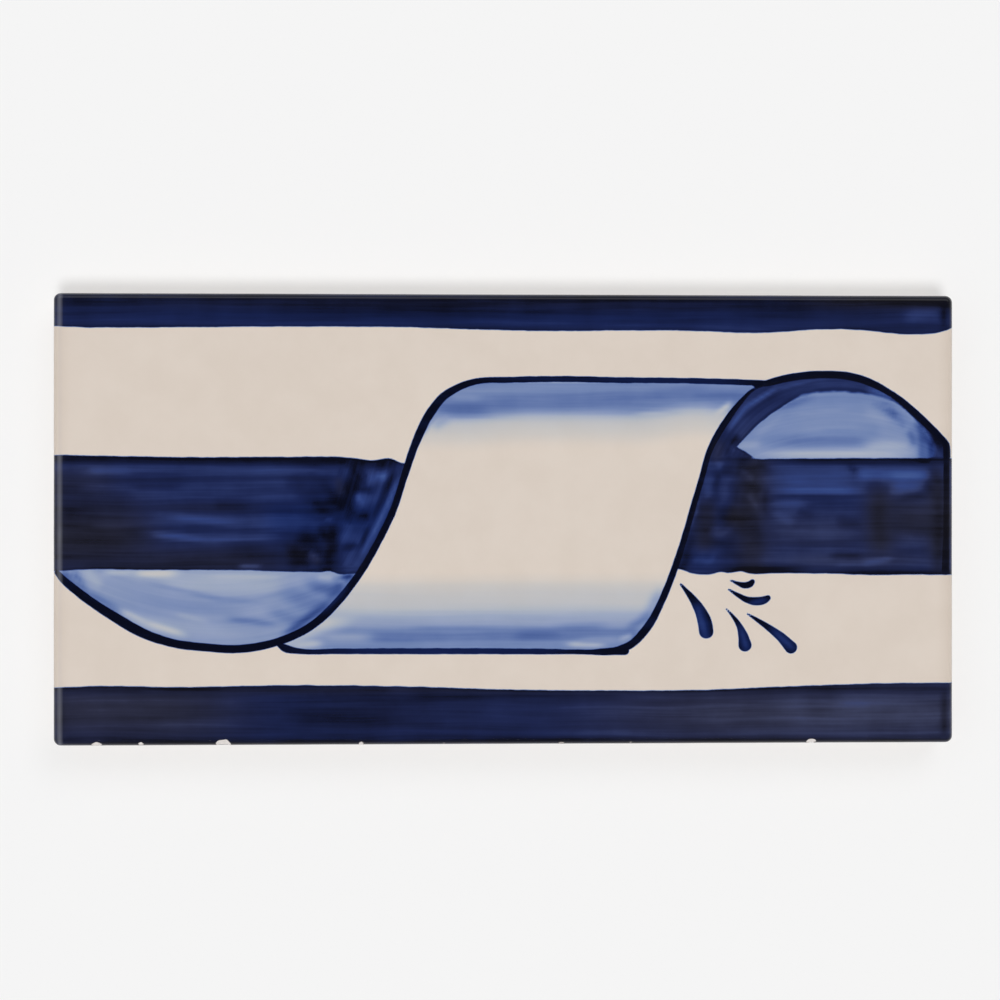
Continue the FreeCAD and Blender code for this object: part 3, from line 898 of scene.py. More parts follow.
# Inside the upper turn the strokes follow its curve, and a dark dab closes the tip of the lens.
turn_load = lay(0.885, px, py, [
    (35.4, 9.5, 37.4, 14.5, 1.2, 0.93), (38.2, 15.4, 41.3, 19.4, 0.4, 0.775),
    (40.8, 18.9, 46.4, 22.3, 0.4, 0.755), (46, 22.2, 52, 23.4, 0.35, 0.83),
    (41.4, 17.6, 46.5, 21.2, 0.6, 0.925), (52, 22.9, 62, 22.5, 0.8, 0.84), (38.7, 13, 39.4, 13.6, 0.7, 1),
    (49, 20.8, 53, 22.2, 0.5, 0.85), (62, 22, 66, 20.6, 0.7, 0.7), (73.4, 12.6, 73.4, 9.6, 0.9, 0.84),
    (72.2, 14.2, 74.2, 12.2, 0.6, 0.95), (36, 10.8, 36.6, 12.4, 0.5, 0.9), (39.6, 10.6, 41, 10.6, 0.9, 0.935),
    (38, 12.2, 38.1, 10.4, 0.7, 0.955),
])

# The bands: two or three pulls of the brush, nearly black along the outer edges.
band_load = lay(0.92, px, py, [
    (-120, 36.9, 120, 36.9, 1.6, 0.985), (-80, 34.7, 62, 34.8, 0.9, 0.95),
    (68.4, 34.8, 73.2, 35.2, 1.3, 0.845), (-64, 33, -16, 33.1, 0.3, 0.89), (-4, 32.9, 44, 32.7, 0.3, 0.895),
    (-40, 35.4, 24, 35.5, 0.4, 0.965), (54, 36.8, 78, 36.8, 1.1, 1), (74.4, 36.5, 74.4, 33, 0.6, 0.99),
    (30, 34.4, 56, 34.3, 0.5, 0.93), (-84, -32, -46, -32, 6, 0.92), (-35, -33, -15, -33.2, 1.9, 0.975),
    (-14, -32, 12, -32, 4, 0.92), (16, -33, 92, -33, 6.5, 0.875), (18, -32.5, 44, -32.5, 3.6, 0.905),
    (-40, -30, 36, -29.9, 0.8, 0.965), (-66, -31.4, 6, -31.5, 0.45, 0.92), (8, -30.2, 62, -30.1, 0.35, 0.9),
    (24, -33.4, 72, -33.2, 0.5, 0.865), (-70, -30.4, -48, -30.3, 0.4, 0.9), (-70, -34, -44, -34.2, 0.4, 0.92),
    (-15, -30.6, 10, -30.5, 0.4, 0.91), (-12, -34.8, 16, -34.6, 0.5, 0.905),
    (56, -31.8, 71, -31.8, 1.4, 0.845), (-120, -37.5, 120, -37.5, 0.75, 1), (-84, -36.6, 6, -36.6, 0.4, 0.97),
    (-120, -28.6, 120, -28.8, 0.5, 0.965), (58, -35.2, 76, -35.2, 1.2, 0.865),
    (2, -35.9, 36, -35.8, 0.6, 0.875), (-70, -36.2, -30, -36.2, 0.5, 0.915),
    (-74.6, -29, -74.6, -37, 0.7, 0.95), (74.5, -29, 74.5, -37, 0.6, 0.955),
    (30, -31.4, 56, -31.3, 0.3, 0.88),
])
# Left of the lens the dabs of the rod and the strokes of the turn run into each other.
past_rod = np.where(px < 43, ease(py, 8.8, 11.4), py > 10.3)
right_load = right_rod_load + past_rod * (turn_load - right_rod_load)
load = np.select([np.abs(py) > 26, px < 0], [band_load, left_rod_load], right_load)
# Over the arris and down the sides the paint ran thinner.
load -= 0.14 * ease(8.4 - height, 0, 1.4)
print(f"the dark fields run from {load.min():.2f} to {load.max():.2f}")

# %% [markdown]
# The fine lines were drawn with a full brush and are nearly black. Along the level pieces and in the fat
# ends of the spray the brush was emptier, and they are bluer.

# %% Lines
line_load = lay(1.0, px, py, [
    (-34, -22.2, 15, -22.3, 1.2, 0.925), (15, 23.5, 43, 23.2, 1.2, 0.95), (-2, 23.6, 14, 23.7, 1, 0.975),
    (32.8, -15, 34.3, -20.2, 0.95, 0.85), (40.1, -18.4, 41.2, -22.1, 0.75, 0.865),
    (45.6, -18.8, 49, -21.9, 0.75, 0.86), (41.8, -14.3, 44.2, -13.7, 0.5, 0.9),
    (-30.6, -15.6, -26.4, -11.4, 0.55, 0.93),
])
print(f"the lines run from {line_load.min():.2f} to {line_load.max():.2f}")

# %% [markdown]
# Thick cobalt does not stay blue everywhere. Where the brush left it too heavy, or the kiln ran hot, it
# fires to a dull brownish black. How dull each place is, is stored as well. The broad greyer patches over
# the left end of the rod and the two ends of the lower band are a painted sheen as well as dull cobalt.

# %% Dull cobalt
# The broad touches of half width 6 at strength 0.95, at the left end of the rod and at both ends of the lower
# band, paint a grey sheen into the cobalt.
dull_and_sheen = lay(0.22, px, py, [
    (-78, -3, -64, -3, 6, 0.95), (-66, -7, -38, -7, 2.4, 0.7), (-78, 6, -68, 6, 3, 0.6),
    (-60, 2, -44, 2, 1, 0.4), (-29, -1.5, -29.4, -5, 1.2, 0.5), (-28.2, 3, -27.4, 2.2, 1.2, 0.3),
    (-28, 0, -17, 0, 6, 0), (-35.6, -5.6, -34, -6, 1.4, 0.5), (-32.2, -6.2, -31.4, -6.9, 0.8, 0.6),
    (-27.8, 6.4, -27.4, 4.6, 0.8, 0.5), (-38, 0, -33, 0, 3, 0), (42.2, 12, 42.2, -10, 2.8, 0.92),
    (34.4, 2, 34, -5, 1.8, 0.75), (39.5, 0.4, 40, 0.2, 2, 1), (44, -2, 60, -2.4, 3.4, 0.55),
    (63.5, 3.6, 63.8, -5, 2.4, 0.95), (67, 0, 76, 0, 4.5, 0.85), (73.4, 8, 73.4, -9, 1.6, 0.9),
    (44, -7, 74, -7, 1.4, 0.6), (36, -2.2, 38, -2.4, 0.9, 0.5), (37.8, 6.6, 37.4, 3, 1.1, 0.3),
    (33, -6.9, 35.2, -6.7, 1.5, 0.1), (36.4, 12.4, 36, 10.6, 1.2, 0.6), (39.5, 11.2, 41, 10.8, 1.2, 0.3),
    (-84, -32, -48, -32, 6, 0.95), (-30, -32, 4, -32, 5, 0.3), (16, -33, 96, -33, 6, 0.95),
    (-76, 34.2, 60, 34.2, 2, 0.08), (-76, 36.6, 50, 36.6, 1.2, 0.35), (50, 36.9, 78, 36.9, 1.2, 0.8),
    (-120, -28.7, 120, -28.9, 0.6, 0.6),
])
print(f"dullness from {dull_and_sheen.min():.2f} to {dull_and_sheen.max():.2f}")

# %% [markdown]
# At the left end of the tile the melting glaze pulled off the arris and took some of the paint with it,
# and at the right end hardly any. A thin paler line shows there.

# %% Worn arris
worn = np.interp(
    px, [-76, -75.5, -75.25, -75.0, -74.75, -74.5, -74.25, 75.3, 75.6, 76],
    [0.01, 0.01, 0.04, 0.16, 0.17, 0.05, 0.0, 0.0, 0.02, 0.04],
)
worn *= 1 + 0.25 * waves(px, py, 5, seed=51)
print(f"up to {worn.max():.0%} of the paint is off the arris")

# %% [markdown]
# ## Washes
#
# The ribbon is shaded along its top and bottom with thinned paint, pulled out to nothing with a damp
# brush. Both ends of the strokes are ragged. The lenses of light inside the two turns are washed in
# several soft layers.

# %% Washes
# Towards its right end the upper shade runs up under the outline, and at its left end a little down.
shade_tilt = 0.75 * ease(-px, -5, 8) - 1.2 * ease(px, 22, 32) + 0.5 * ease(px, 33, 38)
upper_shade = np.interp(
    py + shade_tilt + 0.3 * waves(px, 0.4 * py, 30, seed=11),
    [11.8, 12.8, 13.5, 14.3, 15.0, 15.8, 16.5, 17.3, 18.0, 18.8, 20.3, 21.0, 21.8, 22.5, 23.4],
    [0.00, 0.02, 0.05, 0.08, 0.10, 0.13, 0.16, 0.25, 0.43, 0.54, 0.57, 0.54, 0.49, 0.48, 0.52],
)
lower_shade = np.interp(
    py + 0.3 * waves(px, 0.4 * py, 34, seed=12),
    [-22.0, -20.8, -20.0, -19.2, -18.5, -17.8, -17.0, -16.2, -15.5, -14.8, -14.0, -12.5, -11.0, -10.2, -8.8],
    [0.50, 0.51, 0.58, 0.56, 0.50, 0.40, 0.35, 0.31, 0.24, 0.18, 0.15, 0.14, 0.09, 0.04, 0.00],
)
# The lower shade starts pale beside the lower turn.
lower_shade *= 1 - 0.6 * ease(-py, 15.5, 17.5) * ease(ribbon_left - px, -8, -1)
ribbon_wash = lay(upper_shade + lower_shade, px, py, [
    (11, -21.1, 17, -21.2, 0.5, 0.2), (-35, -21.2, -31, -20.8, 0.8, 0.24),
    (-31, -19.9, -22.5, -19.9, 0.9, 0.37), (23.4, -18.4, 26.4, -12.6, 1, 0.4),
    (-9.6, 16.8, -11.2, 16, 0.8, 0.36), (-14, 14.2, -11, 18, 0.5, 0.44), (14, 19.6, 24, 20.2, 0.6, 0.58),
    (-6, 21.6, 8, 21.8, 0.5, 0.48), (-10.6, 18.6, -3, 18.4, 0.9, 0.64), (-8.2, 20.6, -4, 20.5, 0.6, 0.47),
    (3, -19.7, 9.6, -19.5, 0.8, 0.65), (13, -20.5, 20, -20.2, 0.7, 0.45), (9, -18.6, 17, -18.4, 0.8, 0.57),
    (21.4, -18.4, 24.6, -16.6, 0.8, 0.6), (20, -20.2, 21.4, -19.8, 0.5, 0.36),
    (35.6, 17.4, 38.2, 19.4, 0.5, 0.16), (-20, -15.7, 14, -15.8, 0.25, 0.27),
    (-16, -18.4, 0, -18.5, 0.4, 0.53), (33, 21, 40, 21.2, 0.8, 0.62), (22, 17.6, 30, 18, 0.4, 0.26),
])

lower_lens_wash = lay(0.40, px, py, [
    (-64, -13.4, -44, -15.8, 2, 0.465), (-58, -10.6, -35, -10.8, 2, 0.3), (-62, -17, -44, -19.4, 1.1, 0.36),
    (-62, -9.1, -55.4, -9.1, 0.75, 0.12), (-66, -9.8, -58, -10.8, 0.6, 0.38),
    (-60, -10.7, -52, -12.5, 0.45, 0.45), (-53, -12.3, -47, -13.6, 0.45, 0.48),
    (-49, -13.6, -41, -13.8, 0.5, 0.5), (-42.5, -13.6, -34.5, -12, 0.5, 0.44),
    (-64.6, -15.3, -60, -17.4, 0.5, 0.23), (-60.4, -17.3, -54, -19.3, 0.6, 0.17),
    (-46.4, -16.7, -38.6, -17.6, 0.65, 0.57), (-36, -12.8, -29.2, -15.2, 2, 0.57),
    (-39, -15.6, -33, -17.6, 1.2, 0.53), (-32.4, -11.2, -27.2, -12.4, 1.2, 0.65),
    (-33.8, -12.8, -30.4, -14.4, 0.4, 0.57), (-36.6, -19.2, -29.2, -13.9, 0.75, 0.76),
    (-29, -12.6, -26.4, -10, 0.9, 0.74), (-27.2, -10, -25.4, -9.5, 0.5, 0.84),
    (-74, -9.6, -71.4, -12.2, 0.9, 0.6), (-74.2, -9.3, -73, -10.4, 0.6, 0.8),
    (-70.4, -8.8, -68.4, -10.6, 1, 0.3), (-67.4, -9, -62.4, -8.9, 0.5, 0.26),
    (-72.4, -8.9, -70.6, -11.8, 0.6, 0.6), (-73.6, -9.8, -69.6, -13.2, 0.7, 0.6),
    (-50, -9.6, -38, -9.7, 0.4, 0.26), (-31, -9.7, -28.6, -9.8, 0.5, 0.33),
    (-70, -12.4, -65, -15.4, 0.8, 0.58), (-28.4, -10, -26.8, -10.6, 0.6, 0.52),
    (-55, -16, -50, -17.2, 0.5, 0.35),
])
upper_lens_wash = lay(0.48, px, py, [
    (43, 13.4, 64, 13.5, 1.1, 0.57), (43, 11, 70, 11, 0.8, 0.23), (61.5, 12.2, 68, 12.4, 1.2, 0.3),
    (50, 16.2, 62, 16.4, 1.3, 0.45), (51, 20, 62, 20.2, 0.9, 0.51), (46, 18.4, 52, 20.6, 0.7, 0.58),
    (62, 17.8, 64.4, 17, 1.2, 0.42), (64.4, 15.2, 67.4, 14, 1.2, 0.44), (64.2, 19.2, 66.8, 17.2, 0.75, 0.72),
    (67.2, 17.4, 69.6, 15.2, 0.7, 0.54), (62.6, 19.6, 65.2, 18.8, 0.6, 0.56),
    (70.6, 14.8, 70.8, 10, 0.8, 0.66), (68.8, 14.6, 69.4, 13, 0.7, 0.62), (72.4, 14, 72.4, 10, 1.1, 0.82),
    (70, 16, 71.8, 13.4, 0.7, 0.78), (66.8, 17.2, 67.6, 16, 0.6, 0.6), (40, 12.4, 43, 12.6, 0.7, 0.38),
    (54, 14.9, 60, 14.7, 0.4, 0.53), (48, 17.6, 58, 18.6, 0.4, 0.43), (43, 14.4, 47, 17.4, 0.6, 0.44),
])
ribbon_foot = height_of(px, bottom_stroke[:, :2])
on_ribbon = (px > ribbon_left) & (px < ribbon_right) & (py < 23.0) & (py > ribbon_foot) & (px > -37.6)
lower_turn_floor = height_of(px, left_side_stroke[(left_side_stroke[:, 0] < -24)][:, :2])
in_lower_lens = (px < ribbon_left) & (py < -8) & (py > lower_turn_floor) & (px < -24) & (px > -75.3)
wash = np.select(
    [in_lower_lens, upper_turn < 0.3, on_ribbon], [lower_lens_wash, upper_lens_wash, ribbon_wash], 0.0
)
print(f"washes cover {np.mean(wash > 0.03):.0%} of the face")

# %% [markdown]
# ## Which way the brush went
#
# Bristle marks run along the stroke. On the rod, the bands and the ribbon they are level. In a few places
# they turn: inside the upper turn they go round its middle, in the two lenses they are level in the middle
# and bend away towards the ends, and beside the ribbon they follow its side. There the pattern gets
# coordinates of its own, the way along the stroke and the way across it, and a share from 0 to 1 says how
# much it follows them.

# %% Brush direction
TURN_MIDDLE = (56.0, 2.0)
TURN_RADIUS = 20.0
UPPER_ARCH = 80.0
LOWER_LENS_MIDDLE = -48.0
LOWER_ARCH = 100.0

turn_x, turn_y = px - TURN_MIDDLE[0], py - TURN_MIDDLE[1]
turn_way = TURN_RADIUS * np.arctan2(turn_x, turn_y)
turn_radius = np.hypot(turn_x, turn_y)
upper_arch = py + turn_x**2 / UPPER_ARCH
lower_arch = py - (px - LOWER_LENS_MIDDLE) ** 2 / LOWER_ARCH
in_upper_lens = upper_lens < 0.0
in_turn = (upper_turn < 0.3) & (py > 10.35)
brush_along = np.select([in_upper_lens, in_turn, in_lower_lens], [px, turn_way, px], py)
brush_across = np.select(
    [in_upper_lens, in_turn, in_lower_lens], [upper_arch, turn_radius, lower_arch], px - ribbon_left
)
in_rod_shade = beside_ribbon * (px < 0) * (np.abs(py) < 10.6)
turned = np.select([in_upper_lens | in_turn | in_lower_lens, px < ribbon_left], [1.0, in_rod_shade], 0.0)
print(f"the bristles turn over {np.mean(turned > 0.5):.0%} of the face")

# %% [markdown]
# ## The mesh
#
# All points and faces go into one closed mesh. Every edge is then used by two faces, which the script
# checks.

# %% Mesh
back_parts = [key_quads, key_fans, margin_faces]
faces = [face for part in (face_quads, edge_quads, *back_parts) for face in part.tolist()]

tile_mesh = bpy.data.meshes.new("glazed_tile")
tile_mesh.from_pydata(points * MM, [], faces)
tile_mesh.polygons.foreach_set("use_smooth", np.ones(len(faces), dtype=bool))
tile = put_object("glazed_tile", tile_mesh)

used = np.empty(len(tile_mesh.loops), dtype=np.int32)
tile_mesh.loops.foreach_get("edge_index", used)
uses = np.bincount(used, minlength=len(tile_mesh.edges))
triangles = sum(len(face) - 2 for face in faces)
print(f"{triangles} triangles, closed: {bool(np.all(uses == 2))}")

# %% [markdown]
# ## The paint on the mesh
#
# The paint is stored as attributes, one number for each point.

# %% Attributes
PAINT = {
    "line_edge": line_edge, "field_edge": field_edge, "load": load, "line_load": line_load, "wash": wash,
    "dull_and_sheen": dull_and_sheen, "worn": np.clip(worn, 0, 1), "brush_along": brush_along, "brush_across": brush_across,
    "turned": turned, "nick_bare": nick_bare[painted],
}
BELOW_THE_PAINT = {"line_edge": FAR_OFF, "field_edge": FAR_OFF, "nick_bare": -1.0}

for name, values in PAINT.items():
    whole = np.full(len(points), BELOW_THE_PAINT.get(name, 0.0), dtype=np.float32)
    whole[painted] = values
    tile_mesh.attributes.new(name, "FLOAT", "POINT").data.foreach_set("value", whole)
print("attributes:", ", ".join(PAINT))

# %% [markdown]
# ## A map for the finish
#
# The tile also gets a flat map of its own, so that its finish can be painted to a picture when it leaves
# Blender. The face takes most of the map, the back a strip under it, and the sides are unrolled.

# %% Map
EDGE_OF_MAP = 0.01
FACE_STRIP = (0.30, 0.99)
BACK_STRIP = (0.09, 0.29)
SIDE_STRIP = (0.01, 0.08)


def on_map(across, up, strip):
    """Places on the map for shares from 0 to 1, across the whole map and up the strip."""
    u = EDGE_OF_MAP + across * (1 - 2 * EDGE_OF_MAP)
    v = strip[0] + up * (strip[1] - strip[0])
    return np.stack(np.broadcast_arrays(u, v), axis=-1).reshape(-1, 2)


def share_of_way(steps):
    """The shares from 0 to 1 that have been gone before and after these steps."""
    return np.concatenate([[0], np.cumsum(steps)]) / steps.sum()


face_share = points[face_quads][..., :2] / (2 * tile_half) + 0.5
along = share_of_way(np.hypot(*np.diff(np.vstack([edge_loop, edge_loop[:1]]), axis=0).T))
down = share_of_way(
    np.hypot(np.diff(section_outwards, prepend=0), np.diff(section_heights, prepend=thickness))
)
side_across = np.stack([along[:-1], along[:-1], along[1:], along[1:]], axis=-1)
side_up = 1 - np.stack([down[:-1], down[1:], down[1:], down[:-1]], axis=-1)
back_corners = np.concatenate([part.ravel() for part in back_parts])
back_share = 0.5 - points[back_corners][:, :2] / (2 * tile_half * (1, -1))

whole_map = np.concatenate([
    on_map(face_share[..., 0], face_share[..., 1], FACE_STRIP),
    on_map(side_across[None], side_up[:, None], SIDE_STRIP),
    on_map(back_share[:, 0], back_share[:, 1], BACK_STRIP),
])
finish_map = tile_mesh.uv_layers.new(name="OFBake")
finish_map.uv.foreach_set("vector", whole_map.astype(np.float32).ravel())
print(f"map from {whole_map.min():.2f} to {whole_map.max():.2f}")

# %% [markdown]
# ## The material: cobalt paint under a clear glaze
#
# The real finish is tin-white slip with cobalt blue brushed on it, under a clear lead or alkaline glaze
# fired to a hard gloss. Where the glaze stopped, on the lower part of the sides and on the back, the buff
# biscuit is bare and matte.
#
# The first nodes read the place on the tile in millimetres and the numbers stored on the mesh.

# %% What the material reads
glazed = bpy.data.materials.new("cobalt_painted_glazed_earthenware")
tree = empty_tree(glazed)
tile_place = add_node(tree, "TexCoord").outputs["Object"]
place = add_node(tree, "VectorMath", {0: tile_place, "Scale": 1 / MM}, operation="SCALE")
along_tile, across_tile, up_tile = add_node(tree, "SeparateXYZ", {0: place}).outputs
stored = {name: add_node(tree, "Attribute", attribute_name=name).outputs["Fac"] for name in PAINT}
print("the material reads:", ", ".join(stored))

# %% [markdown]
# ## Bristle marks
#
# A soft brush leaves marks that are long along the stroke and narrow across it. Noise in a stretched
# space has the same shape: the way along the stroke is divided by some centimetres, and the way across
# by the width of a mark. Broad marks are where the brush lifted, and fine marks are single hairs. A hand
# isn't a ruler, so the way across is first bent by a slow noise.

# %% Bristles
BROAD_MARK = (34.0, 1.6)
FINE_MARK = (14.0, 0.42)
HAND_SWAY = 1.4
HAND_SWAY_SIZE = 24.0
CLOUD_SIZE = 6.0

sway = add_node(tree, "TexNoise", {"Vector": place, "Scale": 1 / HAND_SWAY_SIZE, "Detail": 1.0})


def bristle_marks(mark, detail):
    """Noise whose marks have this length and width in millimetres: level, and where the brush turned,
    following it."""
    ways = [(along_tile, across_tile), (stored["brush_along"], stored["brush_across"])]
    marks = []
    for along, across in ways:
        swayed = add_node(tree, "Math", {0: sway, 1: HAND_SWAY, 2: across}, operation="MULTIPLY_ADD")
        long_way = add_node(tree, "Math", {0: along, 1: mark[0]}, operation="DIVIDE")
        short_way = add_node(tree, "Math", {0: swayed, 1: mark[1]}, operation="DIVIDE")
        stretched = add_node(tree, "CombineXYZ", {"X": long_way, "Y": short_way, "Z": mark[0]})
        marks.append(add_node(tree, "TexNoise", {"Vector": stretched, "Scale": 1.0, "Detail": detail}))
    return add_node(tree, "Mix", {"Factor": stored["turned"], "A": marks[0], "B": marks[1]})


broad_marks = bristle_marks(BROAD_MARK, 1.5)
fine_marks = bristle_marks(FINE_MARK, 1.0)
clouds = add_node(tree, "TexNoise", {"Vector": place, "Scale": 1 / CLOUD_SIZE, "Detail": 3.0})
print(f"bristle marks {BROAD_MARK[1]} and {FINE_MARK[1]} mm wide")

# %% [markdown]
# ## Edges of the paint
#
# The distances are cut at nothing, softly, over a fifth of a millimetre or a little more. Some noise is
# added first, because the wet edge of a stroke runs slightly into the slip.

# %% Edges of the paint
SHAKE_SIZE = 2.2
# How far the noise moves an edge and how softly it is cut, in millimetres, for lines and for fields.
PAINT_EDGES = {"line_edge": (0.16, 0.10), "field_edge": (0.24, 0.13)}

shake = add_node(tree, "TexNoise", {"Vector": place, "Scale": 1 / SHAKE_SIZE, "Detail": 2.0})
centred_shake = add_node(tree, "Math", {0: shake, 1: 0.5}, operation="SUBTRACT")
reach = {}
cover = {}
for name, (moved, softness) in PAINT_EDGES.items():
    inputs = {0: centred_shake, 1: moved, 2: stored[name]}
    reach[name] = add_node(tree, "Math", inputs, operation="MULTIPLY_ADD")
    inputs = {"Value": reach[name], "From Min": softness, "From Max": -softness}
    cover[name] = add_node(tree, "MapRange", inputs, interpolation_type="SMOOTHSTEP")
    print(f"{name} softens over {2 * softness:.2f} mm")

# %% [markdown]
# ## Strength at each place
#
# The stored strengths are broken up by the bristle marks. Paint gathers along the rim of a filled field
# and dries darker there.

# %% Strength
RIM = 0.6
RIM_GAIN = 0.03
BROAD_BREAK = 0.11
FINE_BREAK = 0.045
CLOUD_BREAK = 0.07
WASH_BREAK = 2.4
LINE_BREAK = 0.6

broken = stored["load"]
for pattern, amount in ((broad_marks, BROAD_BREAK), (fine_marks, FINE_BREAK), (clouds, CLOUD_BREAK)):
    centred = add_node(tree, "Math", {0: pattern, 1: 0.5}, operation="SUBTRACT")
    broken = add_node(tree, "Math", {0: centred, 1: amount, 2: broken}, operation="MULTIPLY_ADD")
change = add_node(tree, "Math", {0: broken, 1: stored["load"]}, operation="SUBTRACT")

wash_factor = add_node(tree, "Math", {0: change, 1: WASH_BREAK, 2: 1.0}, operation="MULTIPLY_ADD")
wash_strength = add_node(tree, "Math", {0: stored["wash"], 1: wash_factor}, operation="MULTIPLY")

inputs = {"Value": reach["field_edge"], "From Min": -RIM, "From Max": -0.3 * RIM, "To Max": RIM_GAIN}
rim_gain = add_node(tree, "MapRange", inputs, interpolation_type="SMOOTHSTEP")
field_strength = add_node(tree, "Math", {0: broken, 1: rim_gain}, operation="ADD", use_clamp=True)

inputs = {0: change, 1: LINE_BREAK, 2: stored["line_load"]}
line_strength = add_node(tree, "Math", inputs, operation="MULTIPLY_ADD", use_clamp=True)

with_fields = add_node(tree, "Mix", {"Factor": cover["field_edge"], "A": wash_strength, "B": field_strength})
strength = add_node(tree, "Mix", {"Factor": cover["line_edge"], "A": with_fields, "B": line_strength})
print("strength: wash, then fields, then lines")

# %% [markdown]
# ## Colour of the glazed face
#
# One ramp turns the strength into colour, from the warm white of the slip through greyish and full blues
# to blue black. Its ten steps are even, so that a strength is easy to choose. A second, shorter ramp is
# the dull cobalt, which in a few broad patches also stands for a painted grey sheen. The slip itself is
# faintly clouded, and darker and pinker near both ends: partly because it is thinner there, and partly
# as painted shade of the rounded ends.

# %% Colour
COBALT = [
    "DED2C7", "CAC7C5", "B5BAC5", "A0ABC4", "8A99BE", "7387B5", "5A70A6", "435A95", "2A3E7B", "132253",
    "04071A",
]
DULL_AND_SHEEN_COBALT = ["484E6E", "2C2E42", "121118"]
DULL_AND_SHEEN_FROM = 0.8
THICK_PAINT = (0.74, 0.86)
WORN_COBALT = "C4C6D2"
THIN_SLIP_AND_END_SHADE = "C6B7A8"
THIN_SLIP_AND_SHADE_WIDTH = 3.2
THIN_SLIP_AND_SHADE_SHARE = 0.36
MOTTLE_SHARE = 0.12

# The colours of each ramp lie evenly between its first strength and 1.
bright_cobalt, dull_and_sheen_cobalt = (
    add_node(tree, "ValToRGB", {"Fac": strength}, [
        (stop, colour(hex_code))
        for stop, hex_code in zip(np.linspace(first, 1, len(hex_codes)), hex_codes)
    ])
    for hex_codes, first in ((COBALT, 0.0), (DULL_AND_SHEEN_COBALT, DULL_AND_SHEEN_FROM))
)

inputs = {"Value": strength, "From Min": THICK_PAINT[0], "From Max": THICK_PAINT[1]}
thick = add_node(tree, "MapRange", inputs, interpolation_type="SMOOTHSTEP")
# The dull ramp gives dull cobalt, and in a few broad patches a painted grey sheen.
thick_dull_and_sheen = add_node(tree, "Math", {0: stored["dull_and_sheen"], 1: thick}, operation="MULTIPLY")
dull_and_sheen_share = add_node(tree, "Math", {0: thick_dull_and_sheen, 1: cover["field_edge"]}, operation="MULTIPLY")
inputs = {"Factor": dull_and_sheen_share, "A": bright_cobalt, "B": dull_and_sheen_cobalt}
cobalt = add_node(tree, "Mix", inputs, data_type="RGBA")
inputs = {"Factor": stored["worn"], "A": cobalt, "B": colour(WORN_COBALT)}
worn_cobalt = add_node(tree, "Mix", inputs, data_type="RGBA")

# Towards both ends the slip is darkened: thinner slip there, and painted shade of the rounded ends.
from_middle = add_node(tree, "Math", {0: along_tile}, operation="ABSOLUTE")
inputs = {
    "Value": from_middle, "From Min": half_length - THIN_SLIP_AND_SHADE_WIDTH, "From Max": half_length,
    "To Max": THIN_SLIP_AND_SHADE_SHARE,
}
thin_slip_and_end_shade = add_node(tree, "MapRange", inputs, interpolation_type="SMOOTHSTEP")
inputs = {"Value": clouds, "From Min": 0.35, "From Max": 0.65, "To Max": MOTTLE_SHARE}
mottle = add_node(tree, "MapRange", inputs)
slip_tint_and_end_shade = add_node(tree, "Math", {0: thin_slip_and_end_shade, 1: mottle}, operation="ADD")
inputs = {"Factor": slip_tint_and_end_shade, "A": worn_cobalt, "B": colour(THIN_SLIP_AND_END_SHADE)}
painted_colour = add_node(tree, "Mix", inputs, data_type="RGBA", blend_type="DARKEN")
print(f"{len(COBALT)} colours of cobalt and {len(DULL_AND_SHEEN_COBALT)} of dull cobalt")

# %% [markdown]
# ## Where the glaze ends
#
# The glaze runs over the arris and a few millimetres down the sides, and stops in a wavy line with a thick
# rim. In the nicks it has gone with the flakes.

# %% Glaze line
GLAZE_LINE = 5.0
GLAZE_RUN = 3.6
GLAZE_RUN_SIZE = 7.0
GLAZE_SOFTNESS = 0.12
NICK_SHAKE = 0.3
NICK_SOFTNESS = (0.06, -0.02)

runs = add_node(tree, "TexNoise", {"Vector": place, "Scale": 1 / GLAZE_RUN_SIZE, "Detail": 2.0})
inputs = {0: runs, 1: -GLAZE_RUN, 2: GLAZE_LINE + GLAZE_RUN / 2}
glaze_foot = add_node(tree, "Math", inputs, operation="MULTIPLY_ADD")
above_foot = add_node(tree, "Math", {0: up_tile, 1: glaze_foot}, operation="SUBTRACT")
inputs = {"Value": above_foot, "From Min": -GLAZE_SOFTNESS, "From Max": GLAZE_SOFTNESS}
glaze_down_to_foot = add_node(tree, "MapRange", inputs, interpolation_type="SMOOTHSTEP")

inputs = {0: centred_shake, 1: NICK_SHAKE, 2: stored["nick_bare"]}
nick_reach = add_node(tree, "Math", inputs, operation="MULTIPLY_ADD")
inputs = {"Value": nick_reach, "From Min": NICK_SOFTNESS[0], "From Max": NICK_SOFTNESS[1]}
whole_glaze = add_node(tree, "MapRange", inputs, interpolation_type="SMOOTHSTEP")
glaze_cover = add_node(tree, "Math", {0: glaze_down_to_foot, 1: whole_glaze}, operation="MULTIPLY")
print(f"glaze down to about {GLAZE_LINE:.0f} mm above the back")

# %% [markdown]
# ## Biscuit
#
# Below the glaze the biscuit is bare: buff, slightly pink and speckled with fine grog. Next to the glaze
# the flame has flashed it brown. In the nicks it is paler, because it was broken long after the firing
# and took no flame.

# %% Biscuit
GROG_SIZE = 0.5
FLASH_WIDTH = 0.9
FLASH_SHARE = 0.6
BISCUIT = ("D6C1AE", "E4D3C2")
FLASHED_BISCUIT = "C9AC90"
FRESH_BREAK = "EAE4E1"

